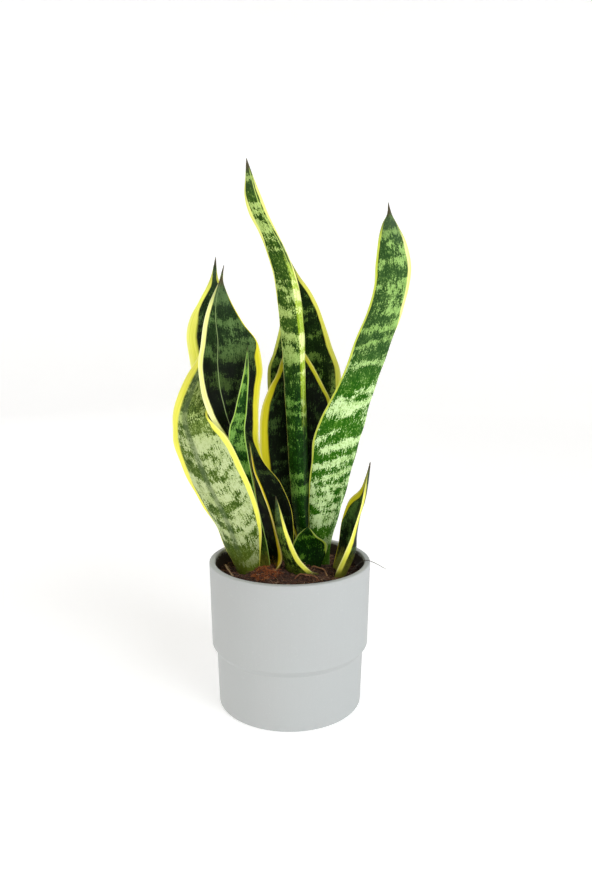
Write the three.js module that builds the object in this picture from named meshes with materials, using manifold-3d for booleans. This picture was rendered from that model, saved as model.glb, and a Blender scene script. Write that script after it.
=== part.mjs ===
// Snake plant (Dracaena trifasciata) growing in a stepped grey pot.
// Millimetres, +Z up. The origin is the centre of the pot's flat underside, -Y is the plant's front.
//
// Pieces: the pot, the potting mix that fills it, the rootstock (rhizome) buried in the mix, twelve
// leaves that stand in sockets of the rootstock, and four loose roots. Every piece is a solid of its
// own, and neighbours keep a small gap.

import * as THREE from 'three';
import { mergeVertices } from 'three/addons/utils/BufferGeometryUtils.js';
import Module from 'manifold-3d';

const wasm = await Module();
wasm.setup();

// ---------------------------------------------------------------- driving dimensions

const GAP = 0.3; // clearance between pieces that touch

const POT = {
  height: 127,
  rimRadius: 70,
  shoulderRadius: 68.4, // outside, just above the step
  shoulderHeight: 54,
  waistRadius: 64.4, // outside, just below the step
  waistHeight: 48.5,
  footRadius: 62.8,
  wall: 5,
  floor: 6,
  edge: 1.2, // small bevel at the rim and the foot
  segments: 56,
};

const SOIL = {
  height: 113, // mean level, below the rim
  lump: 1.4, // how far the surface rises and falls
  moundRise: 6, // fibrous mound round the leaf bases
  moundX: -4,
  moundY: 2,
  moundRadius: 34,
  rings: 6,
  segments: 36,
};

const RHIZOME = { radius: 8, sides: 8 };

const ROOT_SIDES = 6;
const ROOT_STEPS = 10;

const LEAF_LANES = 6; // strips across a leaf
const LEAF_STEPS = 2; // rings from one station to the next
const SOCKET_GAP = 0.45; // round a leaf's base in the mix
const SOCKET_TOP = 123; // sockets reach above the highest lump of the mix

// A leaf is a row of stations from its buried base to its tip. Each station is
// [left margin], [right margin], bulge, thickness: the two margin points as the plant is seen from the
// front, how far the blade's middle stands out of the straight line between them (towards the front
// when positive), and the blade's thickness there. The last entry is the tip.
const LEAVES = {
  leaf_front_left: {
    crest: 2,
    stations: [
      [[-43, 6, 88], [-29, 4, 88], 4, 4.5],
      [[-46, 4, 112], [-27, 1, 112], 6, 4],
      [[-50, 2, 124], [-26, -2, 125], 8, 3.6],
      [[-57, 0, 138], [-25, -5, 140], 10, 3.2],
      [[-63, -2, 156], [-24, -12, 156], 11, 3],
      [[-74, -3, 174], [-27, -15, 178], 12, 2.8],
      [[-87, -2, 197], [-36, -16, 203], 12, 2.6],
      [[-98, 0, 226], [-50.5, -14, 234], 9, 2.4],
      [[-100, 2, 240], [-61.3, -12, 245.5], 6, 2.2],
      [[-99.5, 3.5, 253], [-68.5, -7, 254], 4, 2.1],
      [[-95, 5, 270], [-66, 1, 268], 4, 2.1],
      [[-87, 7, 287], [-63, 5, 287], 3, 2],
      [[-76, 7, 306], [-57, 5, 306], 3, 1.8],
      [[-65, 8, 343], [-54, 7, 343], 2, 1.6],
      [[-58, 6, 366], [-55, 5, 366], 0.5, 1.4],
    ],
    tip: [-54, 5, 378],
  },
  leaf_left_centre: {
    crest: 2,
    stations: [
      [[-36, 22, 88], [-22, 20, 88], -2, 4.5],
      [[-37, 19, 114], [0, 20.5, 114], -4, 4],
      [[-36, 16, 158], [3, 20.5, 156], -4, 3.4],
      [[-41, 13, 190], [-7, 20, 188], -4, 3],
      [[-48, 9, 212], [-22, 19, 208], -4, 2.9],
      [[-54, 5.5, 227], [-26, 17.5, 222], -4, 2.8],
      [[-59.3, 1, 237], [-27, 16, 232], -4, 2.8],
      [[-63.6, -5, 245.5], [-27, 15.5, 243], -4, 2.7],
      [[-66.2, -11, 252], [-27, 15, 252], -4, 2.6],
      [[-68.9, -15.5, 260], [-26.5, 14, 262], -4, 2.5],
      [[-72.5, -20.5, 276], [-25, 12, 276], -6.5, 2.4],
      [[-73, -24, 297], [-23, 10, 292], -10, 2.2],
      [[-71, -23, 316], [-27, 8, 314], -8, 2],
      [[-68, -20, 334], [-38, 5, 329], -6, 1.9],
      [[-64, -16, 347], [-48, 0, 347], -3, 1.8],
      [[-58, -13, 360], [-53, -7, 360], -1, 1.5],
    ],
    tip: [-54, -12, 368],
  },
  leaf_back_left: {
    crest: 2,
    stations: [
      [[-48, 30, 88], [-32, 33, 88], -3, 4.5],
      [[-52, 29, 114], [-30, 32, 114], -2, 4],
      [[-66, 27, 155], [-38, 32, 155], 0, 3.2],
      [[-77, 28, 205], [-42, 31, 205], 3, 2.8],
      [[-83, 28, 255], [-44, 30, 255], 5, 2.6],
      [[-87, 28, 296], [-46, 29, 296], 6, 2.4],
      [[-90, 27, 318], [-46, 28, 320], 6, 2.2],
      [[-86, 26, 335], [-48, 28, 340], 4, 2],
      [[-78, 25, 349], [-53, 27, 352], 2, 1.9],
      [[-68, 25, 368], [-61, 26, 368], 0.5, 1.6],
    ],
    tip: [-63, 26, 387],
  },
  leaf_small_left: {
    crest: 2,
    stations: [
      [[-27, 9, 88], [-17, 6, 88], -1, 4],
      [[-29, 7, 114], [-17, 4, 114], -2, 3.5],
      [[-36, 2, 140], [-20, 1, 140], -3, 3],
      [[-45, -4, 178], [-28, -3, 178], -3, 2.6],
      [[-51, -9, 234], [-37, -6, 233], -3, 2.2],
      [[-46, -6, 257], [-36, -4, 257], -2, 2],
      [[-39, -3, 287], [-34, -2, 287], -1, 1.7],
    ],
    tip: [-35, 0, 311],
  },
  leaf_clasping: {
    crest: 2.5,
    stations: [
      [[-18, 13, 88], [-20, -4, 88], -7, 4.5],
      [[-17, 15, 114], [-24, -7, 114], -11, 3.6],
      [[-20, 15, 121], [-13, -8, 119], -6, 3.4],
      [[-24, 15, 130], [-7, -7, 128], -4, 3],
      [[-26, 16, 147], [-9, -8, 142], -3, 2.8],
      [[-28, 15, 166], [-14, -8, 160], -3, 2.6],
      [[-32, 11, 194], [-24, -4, 188], -3, 2.3],
      [[-34, 7, 209], [-31, -2, 206], -2, 2],
    ],
    tip: [-34, -6, 231],
  },
  leaf_small_front: {
    crest: 2.5,
    stations: [
      [[1, 3, 88], [12, -3, 88], 3, 4.5],
      [[-2, 1, 112], [26, -9, 113], 8, 4],
      [[-4, -1, 122], [18, -13, 120], 6, 3.6],
      [[-5, -2, 134], [8, -15, 132], 5, 3.2],
      [[-10, -4, 152], [-1, -13, 152], 3.5, 2.8],
      [[-12, -2, 167], [-7, -9, 170], 1.5, 2.2],
    ],
    tip: [-12, -3, 184],
  },
  leaf_cut_stub: {
    crest: 2,
    stations: [
      [[10, 13, 88], [24, 13, 88], -2, 4.5],
      [[4, 10, 114], [27, 10, 114], -3, 4],
      [[2, 10, 132], [33.5, 10.5, 135], -3, 3.4],
      [[6, 9, 144], [24, 10, 144], -1.5, 3],
      [[12, 9, 150], [19, 9, 150], -0.5, 2.4],
    ],
    tip: [16, 9, 153],
  },
  leaf_tall_keeled: {
    crest: 1.4,
    stations: [
      [[9, 29, 88], [21, 29, 88], 4, 5],
      [[9, 29, 114], [20, 29, 114], 5, 4.5],
      [[7, 29, 142], [18, 31, 142], 6, 4],
      [[2, 27, 172], [17, 29, 173], 8, 3.6],
      [[-1, 22, 214], [16, 26, 214], 10, 3.3],
      [[-4, 16, 268], [14, 22, 267], 12, 3],
      [[-6, 10, 303], [13, 17, 306], 12, 2.8],
      [[-8, 4, 328], [12, 12, 329], 11, 2.6],
      [[-11, -2, 355], [9, 7, 354], 9, 2.4],
      [[-14, -7, 372], [4, 2, 372], 8, 2.2],
      [[-19, -12, 388], [-3, -4, 389], 7, 2.1],
      [[-25, -16, 402], [-10, -9, 402], 5, 2],
      [[-32, -20, 415], [-17, -15, 416], 4, 1.9],
      [[-35, -22, 428], [-22, -19, 428], 3, 1.8],
      [[-34, -24, 442], [-28, -23, 442], 1.5, 1.6],
    ],
    tip: [-33, -26, 455],
  },
  leaf_broad_shaded: {
    crest: 2,
    stations: [
      [[8, 32, 88], [28, 33, 88], -8, 5],
      [[6, 30, 114], [34, 31, 114], -11, 4.2],
      [[5, 30, 138], [37, 34, 137], -12, 3.6],
      [[-4, 30, 158], [39, 35, 160], -12, 3.2],
      [[-16, 28, 177], [40, 35, 185], -12, 3],
      [[-24, 26, 195], [40, 34, 209], -12, 2.8],
      [[-27, 24, 224], [39, 32, 234], -12, 2.6],
      [[-25, 24, 254], [37, 31, 260], -10, 2.4],
      [[-19, 25, 272], [30, 31, 276], -7, 2.2],
      [[-12, 27, 285], [21, 31, 293], -4, 2],
      [[-7, 29, 299], [12, 32, 307], -2, 1.7],
    ],
    tip: [3, 31, 320],
  },
  leaf_back_centre: {
    crest: 2,
    stations: [
      [[4, 46, 88], [22, 46, 88], -2, 5],
      [[0, 46, 114], [30, 46, 114], -3, 4.2],
      [[1, 48, 150], [36, 48, 150], -5, 3.4],
      [[-5, 50, 190], [41, 50, 190], -6, 3],
      [[-12, 51, 230], [45, 51, 230], -7, 2.8],
      [[-19, 51, 261], [47, 50, 261], -7, 2.6],
      [[-20, 50, 288], [46, 48, 288], -7, 2.4],
      [[-15, 50, 304], [38, 46, 310], -6, 2.3],
      [[-11, 48, 318], [33, 44, 326], -5, 2.1],
      [[-8, 46, 333], [27, 43, 342], -4, 2],
      [[-5, 44, 351], [19, 43, 358], -3, 1.8],
      [[-2, 43, 372], [8, 43, 373], -1, 1.5],
    ],
    tip: [-1, 43, 388],
  },
  leaf_right_arching: {
    crest: 2,
    stations: [
      [[22, 24, 88], [36, 20, 88], 4, 5],
      [[19, 24, 112], [36, 22, 112], 5, 4.5],
      [[17, 23, 136], [37, 24, 132], 6, 4],
      [[17, 20, 160], [44, 23, 159], 7, 3.6],
      [[17, 17, 184], [50, 20, 183], 7, 3.3],
      [[19, 12, 211], [57, 17, 211], 7, 3],
      [[20, 8, 230], [61, 14, 229], 7, 2.9],
      [[25, 5, 246], [65, 11, 245], 7, 2.8],
      [[35, 2, 267], [70, 8, 265], 6, 2.7],
      [[45, 0, 288], [76, 5, 286], 5, 2.6],
      [[56, 0, 319], [87, 3, 318], 5, 2.5],
      [[65, 0, 341], [94, 2, 339], 5, 2.4],
      [[70, 0, 361], [99, 2, 359], 4, 2.3],
      [[71, 1, 379], [101, 2, 376], 4, 2.2],
      [[73, 2, 398], [96, 3, 396], 3, 2],
      [[76, 3, 410], [89, 3, 409], 1.5, 1.8],
      [[80, 4, 418], [84, 4, 418], 0.5, 1.5],
    ],
    tip: [81, 5, 428],
  },
  leaf_small_right: {
    crest: 2.5,
    stations: [
      [[33, 4, 88], [35, -10, 88], -5, 4.5],
      [[37.5, 7, 114], [38, -14, 114], -9, 3.8],
      [[43, 11, 136], [46, -20, 137], -11, 3.2],
      [[46, 11, 158], [51, -22, 151], -8, 2.8],
      [[52, 8, 177], [56, -22, 167], -5, 2.5],
      [[61, 3, 188], [60, -20, 180], -3, 2.2],
      [[65, -2, 200], [63, -16, 194], -2, 1.9],
    ],
    tip: [68, -10, 215],
  },
};

// Runs of the rootstock, along the rows of leaf bases
const RHIZOME_RUNS = [
  [[-42, 31, 84], [-34, 20, 85], [-34, 6, 84], [-22, 4, 83], [-8, 8, 82], [4, 12, 82], [14, 20, 83],
    [16, 32, 84], [14, 46, 84]],
  [[14, 20, 83], [26, 22, 84], [34, 12, 84], [35, -6, 84]],
  [[2, 12, 82], [4, 6, 83], [5, -2, 84]],
];

// Loose roots that lie on the mix: points along the middle, and the diameter
const ROOTS = {
  root_left: {
    diameter: 1.7,
    points: [[-52, 10, 112], [-57, 5, 119], [-55, -2, 119], [-52, -9, 118], [-46, -16, 112]],
  },
  root_right: {
    diameter: 1.5,
    points: [[18, 3, 112], [20, 1, 119], [25, -2, 119], [30, -6, 118], [34, -12, 112]],
  },
  root_over_rim: {
    diameter: 0.9,
    points: [[50, -6, 112], [57, -8, 122], [64, -11, 128.3], [71, -14, 127.9], [82, -18, 123]],
  },
  root_front: {
    diameter: 1.3,
    points: [[2, -22, 112], [8, -20, 119], [15, -21, 119], [22, -24, 118], [28, -28, 112]],
  },
};

const COLOURS = {
  pot: 0xc4c9c8,
  soil: 0x33201a,
  rootstock: 0xb8903f,
  root: 0x9a7a52,
  leafPale: 0x8fb06a,
  leafDark: 0x2e5a2c,
  leafLime: 0x7fae3c,
};

// ---------------------------------------------------------------- solids and cuts

function toSolid(geometry, placement = new THREE.Matrix4()) {
  const bare = geometry.clone().applyMatrix4(placement);
  bare.deleteAttribute('normal');
  bare.deleteAttribute('uv');
  const welded = mergeVertices(bare, 1e-4);
  return new wasm.Manifold(new wasm.Mesh({
    numProp: 3,
    vertProperties: new Float32Array(welded.attributes.position.array),
    triVerts: new Uint32Array(welded.index.array),
  }));
}

function toGeometry(solid) {
  const mesh = solid.getMesh();
  const geometry = new THREE.BufferGeometry();
  geometry.setAttribute('position', new THREE.BufferAttribute(mesh.vertProperties, 3));
  geometry.setIndex(new THREE.BufferAttribute(mesh.triVerts, 1));
  geometry.computeVertexNormals();
  return geometry;
}

// A cut can leave crumbs between two tools. Only the biggest body is the piece.
function biggestBody(solid) {
  const bodies = solid.decompose();
  bodies.sort((a, b) => b.volume() - a.volume());
  return bodies[0];
}

// A closed skin over a stack of rings with the same number of points, with a fan at each end. An end
// that comes to a point is given as a ring of one point.
function skinRings(rings) {
  const position = [];
  const index = [];
  const firsts = rings.map((ring) => {
    const first = position.length / 3;
    ring.forEach((point) => position.push(point.x, point.y, point.z));
    return first;
  });
  const fan = (ring, hub, flip) => {
    for (let i = 0; i < rings[ring].length; i += 1) {
      const a = firsts[ring] + i;
      const b = firsts[ring] + ((i + 1) % rings[ring].length);
      index.push(...(flip ? [b, a, hub] : [a, b, hub]));
    }
  };
  for (let k = 0; k + 1 < rings.length; k += 1) {
    const count = rings[k].length;
    if (rings[k + 1].length === 1) {
      fan(k, firsts[k + 1], false);
      continue;
    }
    for (let i = 0; i < count; i += 1) {
      const j = (i + 1) % count;
      const [a, b] = [firsts[k] + i, firsts[k] + j];
      const [c, d] = [firsts[k + 1] + i, firsts[k + 1] + j];
      index.push(a, b, c, b, d, c);
    }
  }
  const cap = (ring, flip) => {
    const middle = rings[ring].reduce((sum, point) => sum.add(point), new THREE.Vector3())
      .divideScalar(rings[ring].length);
    position.push(middle.x, middle.y, middle.z);
    fan(ring, position.length / 3 - 1, flip);
  };
  cap(0, true);
  if (rings[rings.length - 1].length > 1) cap(rings.length - 1, false);
  const geometry = new THREE.BufferGeometry();
  geometry.setAttribute('position', new THREE.Float32BufferAttribute(position, 3));
  geometry.setIndex(index);
  geometry.computeVertexNormals();
  return geometry;
}

// ---------------------------------------------------------------- leaves

function leafCurves(leaf) {
  const smooth = (points) => new THREE.CatmullRomCurve3(points, false, 'catmullrom', 0.5);
  const tip = new THREE.Vector3(...leaf.tip);
  return {
    left: smooth([...leaf.stations.map((station) => new THREE.Vector3(...station[0])), tip]),
    right: smooth([...leaf.stations.map((station) => new THREE.Vector3(...station[1])), tip]),
    shape: smooth([
      ...leaf.stations.map((station) => new THREE.Vector3(station[2], station[3], 0)),
      new THREE.Vector3(0, 1, 0),
    ]),
  };
}

// One ring of a leaf: front face from the left margin to the right one, then the back face. Across the
// blade s runs from -1 to 1, the middle line is a bulge of 1 - |s|^crest, and the thickness is set off
// square to that line.
function leafRing(leaf, curves, t, clearance) {
  const left = curves.left.getPoint(t);
  const right = curves.right.getPoint(t);
  const { x: bulge, y: thickness } = curves.shape.getPoint(t);
  const halfWidth = left.distanceTo(right) / 2;
  const middle = left.clone().lerp(right, 0.5);
  const along = right.clone().sub(left).normalize();
  const rise = curves.left.getTangent(t).add(curves.right.getTangent(t));
  const outward = along.clone().cross(rise).normalize();
  const at = (lane, side) => {
    const s = (2 * lane) / LEAF_LANES - 1;
    const slope = -bulge * leaf.crest * Math.sign(s) * Math.abs(s) ** (leaf.crest - 1);
    const line = new THREE.Vector2(halfWidth, slope).normalize();
    const margin = Math.abs(s) === 1 ? s * clearance : 0;
    const square = side * (thickness / 2 + clearance) * Math.sqrt(1 - s * s);
    const sideways = s * halfWidth + margin * line.x - square * line.y;
    const forwards = bulge * (1 - Math.abs(s) ** leaf.crest) + margin * line.y + square * line.x;
    return middle.clone().addScaledVector(along, sideways).addScaledVector(outward, forwards);
  };
  const ring = [];
  for (let lane = 0; lane <= LEAF_LANES; lane += 1) ring.push(at(lane, 1));
  for (let lane = LEAF_LANES - 1; lane > 0; lane -= 1) ring.push(at(lane, -1));
  return ring;
}

// Rings from the buried base up to a station. The straight first span has no ring between its ends.
function leafRings(leaf, lastStation, clearance) {
  const curves = leafCurves(leaf);
  const rings = [leafRing(leaf, curves, 0, clearance)];
  for (let k = LEAF_STEPS; k <= lastStation * LEAF_STEPS; k += 1) {
    const t = k / (leaf.stations.length * LEAF_STEPS);
    rings.push(t < 1 ? leafRing(leaf, curves, t, clearance) : [new THREE.Vector3(...leaf.tip)]);
  }
  return rings;
}

function leafGeometry(leaf) {
  return skinRings(leafRings(leaf, leaf.stations.length, 0));
}

// The hollow that a leaf's base stands in: the same blade, a gap larger all round
function leafSocket(leaf) {
  const top = leaf.stations.findIndex(([left, right]) => Math.min(left[2], right[2]) > SOCKET_TOP);
  const rings = leafRings(leaf, top, SOCKET_GAP);
  rings[0].forEach((point) => { point.z -= SOCKET_GAP; });
  return toSolid(skinRings(rings));
}

// ---------------------------------------------------------------- rootstock and roots

function tubeGeometry(points, radius, sides, steps) {
  const section = new THREE.Shape();
  for (let i = 0; i < sides; i += 1) {
    const angle = (2 * Math.PI * i) / sides;
    section[i ? 'lineTo' : 'moveTo'](radius * Math.cos(angle), radius * Math.sin(angle));
  }
  const path = new THREE.CatmullRomCurve3(
    points.map((point) => new THREE.Vector3(...point)), false, 'catmullrom', 0.5,
  );
  return new THREE.ExtrudeGeometry(section, { steps, extrudePath: path });
}

function rhizomeSolid(clearance) {
  const radius = RHIZOME.radius + clearance;
  let solid = null;
  RHIZOME_RUNS.forEach((run) => {
    const tube = toSolid(tubeGeometry(run, radius, RHIZOME.sides, 2 * run.length));
    solid = solid ? solid.add(tube) : tube;
    [run[0], run[run.length - 1]].forEach((end) => {
      const knob = new THREE.SphereGeometry(radius, RHIZOME.sides, RHIZOME.sides / 2);
      solid = solid.add(toSolid(knob, new THREE.Matrix4().makeTranslation(...end)));
    });
  });
  return solid;
}

// ---------------------------------------------------------------- potting mix

// Height of the mix: uneven, with a low fibrous mound round the leaf bases
function soilHeight(x, y) {
  const bumps = Math.sin(0.21 * x + 0.5) * Math.cos(0.17 * y) + 0.6 * Math.sin(0.37 * y + 0.11 * x);
  const away = Math.hypot(x - SOIL.moundX, y - SOIL.moundY) / SOIL.moundRadius;
  return SOIL.height + SOIL.lump * bumps * 0.6 + SOIL.moundRise * Math.exp(-away * away);
}

function potInnerRadius(z) {
  if (z >= POT.shoulderHeight) {
    const rise = (z - POT.shoulderHeight) / (POT.height - POT.shoulderHeight);
    return THREE.MathUtils.lerp(POT.shoulderRadius, POT.rimRadius, rise) - POT.wall;
  }
  if (z >= POT.waistHeight) {
    const rise = (z - POT.waistHeight) / (POT.shoulderHeight - POT.waistHeight);
    return THREE.MathUtils.lerp(POT.waistRadius, POT.shoulderRadius, rise) - POT.wall;
  }
  return THREE.MathUtils.lerp(POT.footRadius, POT.waistRadius, z / POT.waistHeight) - POT.wall;
}

function soilGeometry() {
  const circle = (radius, height) => {
    const ring = [];
    for (let i = 0; i < SOIL.segments; i += 1) {
      const angle = (2 * Math.PI * i) / SOIL.segments;
      const [x, y] = [radius * Math.cos(angle), radius * Math.sin(angle)];
      ring.push(new THREE.Vector3(x, y, height ?? soilHeight(x, y)));
    }
    return ring;
  };
  const bottom = POT.floor + GAP;
  const edge = potInnerRadius(SOIL.height) - 2 * GAP;
  const rings = [
    circle(potInnerRadius(bottom) - 2 * GAP, bottom),
    circle(potInnerRadius(POT.waistHeight) - 2 * GAP, POT.waistHeight),
    circle(potInnerRadius(POT.shoulderHeight) - 2 * GAP, POT.shoulderHeight),
  ];
  for (let k = SOIL.rings; k > 0; k -= 1) rings.push(circle((edge * k) / SOIL.rings));
  rings.push([new THREE.Vector3(0, 0, soilHeight(0, 0))]);
  return skinRings(rings);
}

// ---------------------------------------------------------------- pot

function potGeometry() {
  const { height, wall, floor, edge } = POT;
  const profile = [
    [0, 0],
    [POT.footRadius - edge, 0],
    [POT.footRadius, edge],
    [POT.waistRadius, POT.waistHeight],
    [POT.shoulderRadius, POT.shoulderHeight],
    [POT.rimRadius, height - edge],
    [POT.rimRadius - edge, height],
    [POT.rimRadius - wall + edge, height],
    [POT.rimRadius - wall, height - edge],
    [POT.shoulderRadius - wall, POT.shoulderHeight],
    [POT.waistRadius - wall, POT.waistHeight],
    [potInnerRadius(floor), floor],
    [0, floor],
  ].map(([radius, z]) => new THREE.Vector2(radius, z));
  const lathe = new THREE.LatheGeometry(profile, POT.segments);
  lathe.rotateX(Math.PI / 2);
  return lathe;
}

// ---------------------------------------------------------------- assembly

const plant = new THREE.Group();

function addPiece(name, geometry, colour, roughness) {
  const material = new THREE.MeshStandardMaterial({ color: colour, roughness, metalness: 0 });
  const piece = new THREE.Mesh(geometry, material);
  piece.name = name;
  plant.add(piece);
}

const leafColours = {
  leaf_front_left: COLOURS.leafPale,
  leaf_right_arching: COLOURS.leafPale,
  leaf_tall_keeled: COLOURS.leafLime,
};

addPiece('pot', potGeometry(), COLOURS.pot, 0.75);

const sockets = Object.values(LEAVES).map(leafSocket);
const rootTools = Object.values(ROOTS).map(({ points, diameter }) => (
  toSolid(tubeGeometry(points, diameter / 2 + GAP, ROOT_SIDES, ROOT_STEPS))));

const cutAll = (solid, tools) => tools.reduce((rest, tool) => rest.subtract(tool), solid);
addPiece('rootstock', toGeometry(biggestBody(cutAll(rhizomeSolid(0), sockets))), COLOURS.rootstock, 0.6);
const mix = cutAll(toSolid(soilGeometry()).subtract(rhizomeSolid(GAP)), [...sockets, ...rootTools]);
addPiece('potting_mix', toGeometry(biggestBody(mix)), COLOURS.soil, 0.95);

Object.entries(LEAVES).forEach(([name, leaf]) => {
  addPiece(name, leafGeometry(leaf), leafColours[name] ?? COLOURS.leafDark, 0.4);
});

Object.entries(ROOTS).forEach(([name, { points, diameter }]) => {
  addPiece(name, tubeGeometry(points, diameter / 2, ROOT_SIDES, ROOT_STEPS), COLOURS.root, 0.8);
});

export default plant;
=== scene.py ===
import math

import bpy
import numpy as np
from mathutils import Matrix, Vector, noise


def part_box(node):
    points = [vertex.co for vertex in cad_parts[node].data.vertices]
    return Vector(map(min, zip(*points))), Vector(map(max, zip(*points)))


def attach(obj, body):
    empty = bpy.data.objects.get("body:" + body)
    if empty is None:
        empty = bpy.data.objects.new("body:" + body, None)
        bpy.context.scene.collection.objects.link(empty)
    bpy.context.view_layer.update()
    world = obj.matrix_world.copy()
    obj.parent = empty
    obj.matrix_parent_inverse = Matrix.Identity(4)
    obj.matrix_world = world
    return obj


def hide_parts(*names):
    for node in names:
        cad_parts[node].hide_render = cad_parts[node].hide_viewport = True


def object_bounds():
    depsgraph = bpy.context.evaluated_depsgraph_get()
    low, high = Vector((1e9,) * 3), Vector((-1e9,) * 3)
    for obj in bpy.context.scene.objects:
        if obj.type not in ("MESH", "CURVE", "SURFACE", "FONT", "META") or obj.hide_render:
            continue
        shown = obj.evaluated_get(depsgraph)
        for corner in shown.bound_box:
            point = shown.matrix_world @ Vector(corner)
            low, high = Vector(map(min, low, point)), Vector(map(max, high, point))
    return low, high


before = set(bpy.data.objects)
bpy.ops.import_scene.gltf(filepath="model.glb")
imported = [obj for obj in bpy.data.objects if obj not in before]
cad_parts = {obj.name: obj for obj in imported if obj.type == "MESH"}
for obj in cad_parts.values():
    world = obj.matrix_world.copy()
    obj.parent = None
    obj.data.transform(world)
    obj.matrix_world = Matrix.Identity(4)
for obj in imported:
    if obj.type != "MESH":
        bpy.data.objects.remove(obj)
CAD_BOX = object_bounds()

bl_info = {
    "name": "Potted snake plant",
    "version": (1, 0, 0),
    "blender": (4, 5, 0),
    "location": "3D View > Sidebar > Snake plant",
    "description": "Finished surfaces for a snake plant growing in a stepped grey pot",
    "category": "Object",
}

MM = 0.001  # metres in a millimetre; the shapes below are worked out in millimetres


# ------------------------------------------------------------------ node trees

class Wire:
    """An output socket that Python's operators work on. Each operator adds a Math node."""

    def __init__(self, tree, socket):
        self.tree = tree
        self.socket = socket

    def __add__(self, other):
        return self.tree.maths("ADD", self, other)

    def __sub__(self, other):
        return self.tree.maths("SUBTRACT", self, other)

    def __mul__(self, other):
        return self.tree.maths("MULTIPLY", self, other)

    def __truediv__(self, other):
        return self.tree.maths("DIVIDE", self, other)

    def __pow__(self, other):
        return self.tree.maths("POWER", self, other)

    def __rsub__(self, other):
        return self.tree.maths("SUBTRACT", other, self)

    def __rtruediv__(self, other):
        return self.tree.maths("DIVIDE", other, self)

    __radd__ = __add__
    __rmul__ = __mul__


def pick(sockets, key):
    """The socket at an index, or the one in use that has a name."""
    if isinstance(key, int):
        return sockets[key]
    return next(socket for socket in sockets if socket.name == key and socket.enabled)


class Tree:
    """A node tree that is written as expressions."""

    def __init__(self, tree):
        self.tree = tree

    def node(self, kind, settings=None, inputs=None, output=0):
        """Adds a node, gives it its settings and then its inputs, and hands back an output."""
        made = self.tree.nodes.new(kind)
        for name, value in (settings or {}).items():
            if name == "stops":
                self.set_stops(made.color_ramp, value)
            else:
                setattr(made, name, value)
        for key, value in (inputs or {}).items():
            self.join(value, pick(made.inputs, key))
        return Wire(self, pick(made.outputs, output)) if made.outputs else None

    def join(self, value, socket):
        if isinstance(value, Wire):
            self.tree.links.new(value.socket, socket)
        else:
            socket.default_value = value

    def set_stops(self, ramp, stops):
        while len(ramp.elements) < len(stops):
            ramp.elements.new(1.0)
        for element, (place, colour) in zip(ramp.elements, stops):
            element.position = place
            element.color = colour

    def maths(self, operation, *values):
        return self.node("ShaderNodeMath", {"operation": operation}, dict(enumerate(values)))

    def vector(self, x, y, z):
        return self.node("ShaderNodeCombineXYZ", inputs={"X": x, "Y": y, "Z": z})

    def split(self, vector):
        parts = self.node("ShaderNodeSeparateXYZ", inputs={"Vector": vector}).socket.node
        return [Wire(self, socket) for socket in parts.outputs]

    def step(self, value, low, high):
        """0 where value is at low, 1 where it is at high, and smooth between; low may be the larger."""
        return self.node(
            "ShaderNodeMapRange",
            {"interpolation_type": "SMOOTHSTEP"},
            {"Value": value, "From Min": low, "From Max": high},
            "Result",
        )

    def noise(self, vector, detail=2.0, roughness=0.5):
        return self.node(
            "ShaderNodeTexNoise",
            inputs={"Vector": vector, "Scale": 1.0, "Detail": detail, "Roughness": roughness},
            output=0,
        )


class Shader(Tree):
    """A material on one Principled shader. The functions that make one call it s."""

    def __init__(self, name):
        self.material = bpy.data.materials.new(name)
        self.material.use_nodes = True
        super().__init__(self.material.node_tree)
        self.tree.nodes.clear()
        self.surface = self.node("ShaderNodeBsdfPrincipled")
        self.node("ShaderNodeOutputMaterial", inputs={"Surface": self.surface})

    def set(self, **inputs):
        for name, value in inputs.items():
            self.join(value, self.surface.socket.node.inputs[name.replace("_", " ")])

    def attribute(self, name):
        """The three parts of a vector attribute of the mesh."""
        read = self.node("ShaderNodeAttribute", {"attribute_name": name}, output="Vector")
        return self.split(read)

    def place(self):
        """Where a point is, in millimetres in the part's own frame."""
        read = self.node("ShaderNodeTexCoord", output="Object")
        return [axis * (1 / MM) for axis in self.split(read)]

    def mix(self, share, first, second):
        return self.node(
            "ShaderNodeMix",
            {"data_type": "RGBA"},
            {"Factor": share, "A": first, "B": second},
            "Result",
        )

    def ramp(self, value, tones):
        """Tones spaced evenly from 0 to 1."""
        last = len(tones) - 1
        stops = [(index / last, tone) for index, tone in enumerate(tones)]
        return self.node("ShaderNodeValToRGB", {"stops": stops}, {"Fac": value}, "Color")

    def bump(self, height, strength, distance):
        """A normal from a height of 0 to 1, where 1 stands distance metres proud."""
        return self.node(
            "ShaderNodeBump",
            inputs={"Strength": strength, "Distance": distance, "Height": height},
            output="Normal",
        )


def tone(red, green, blue):
    """A display colour of 0 to 255 as the linear colour that shaders use."""
    def linear(value):
        part = value / 255
        return part / 12.92 if part <= 0.04045 else ((part + 0.055) / 1.055) ** 2.4
    return (linear(red), linear(green), linear(blue), 1.0)


# ------------------------------------------------------------------ meshes

def add_piece(name, points, faces, material, replaced=(), attributes=()):
    """A finished piece from points in millimetres. Attributes are (name, one triple per point)."""
    mesh = bpy.data.meshes.new(name)
    mesh.from_pydata((np.asarray(points, float) * MM).tolist(), [], faces)
    for label, values in attributes:
        layer = mesh.attributes.new(label, "FLOAT_VECTOR", "POINT")
        layer.data.foreach_set("vector", np.asarray(values, np.float32).ravel())
    return finish_piece(name, mesh, material, replaced)


def finish_piece(name, mesh, material, replaced=()):
    """Puts a mesh in the scene as a piece of the plant and ties it to the frame."""
    mesh.materials.clear()
    mesh.materials.append(material)
    mesh.shade_smooth()
    piece = bpy.data.objects.new(name, mesh)
    bpy.context.scene.collection.objects.link(piece)
    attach(piece, "root")
    if replaced:
        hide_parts(*replaced)
    return piece


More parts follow.
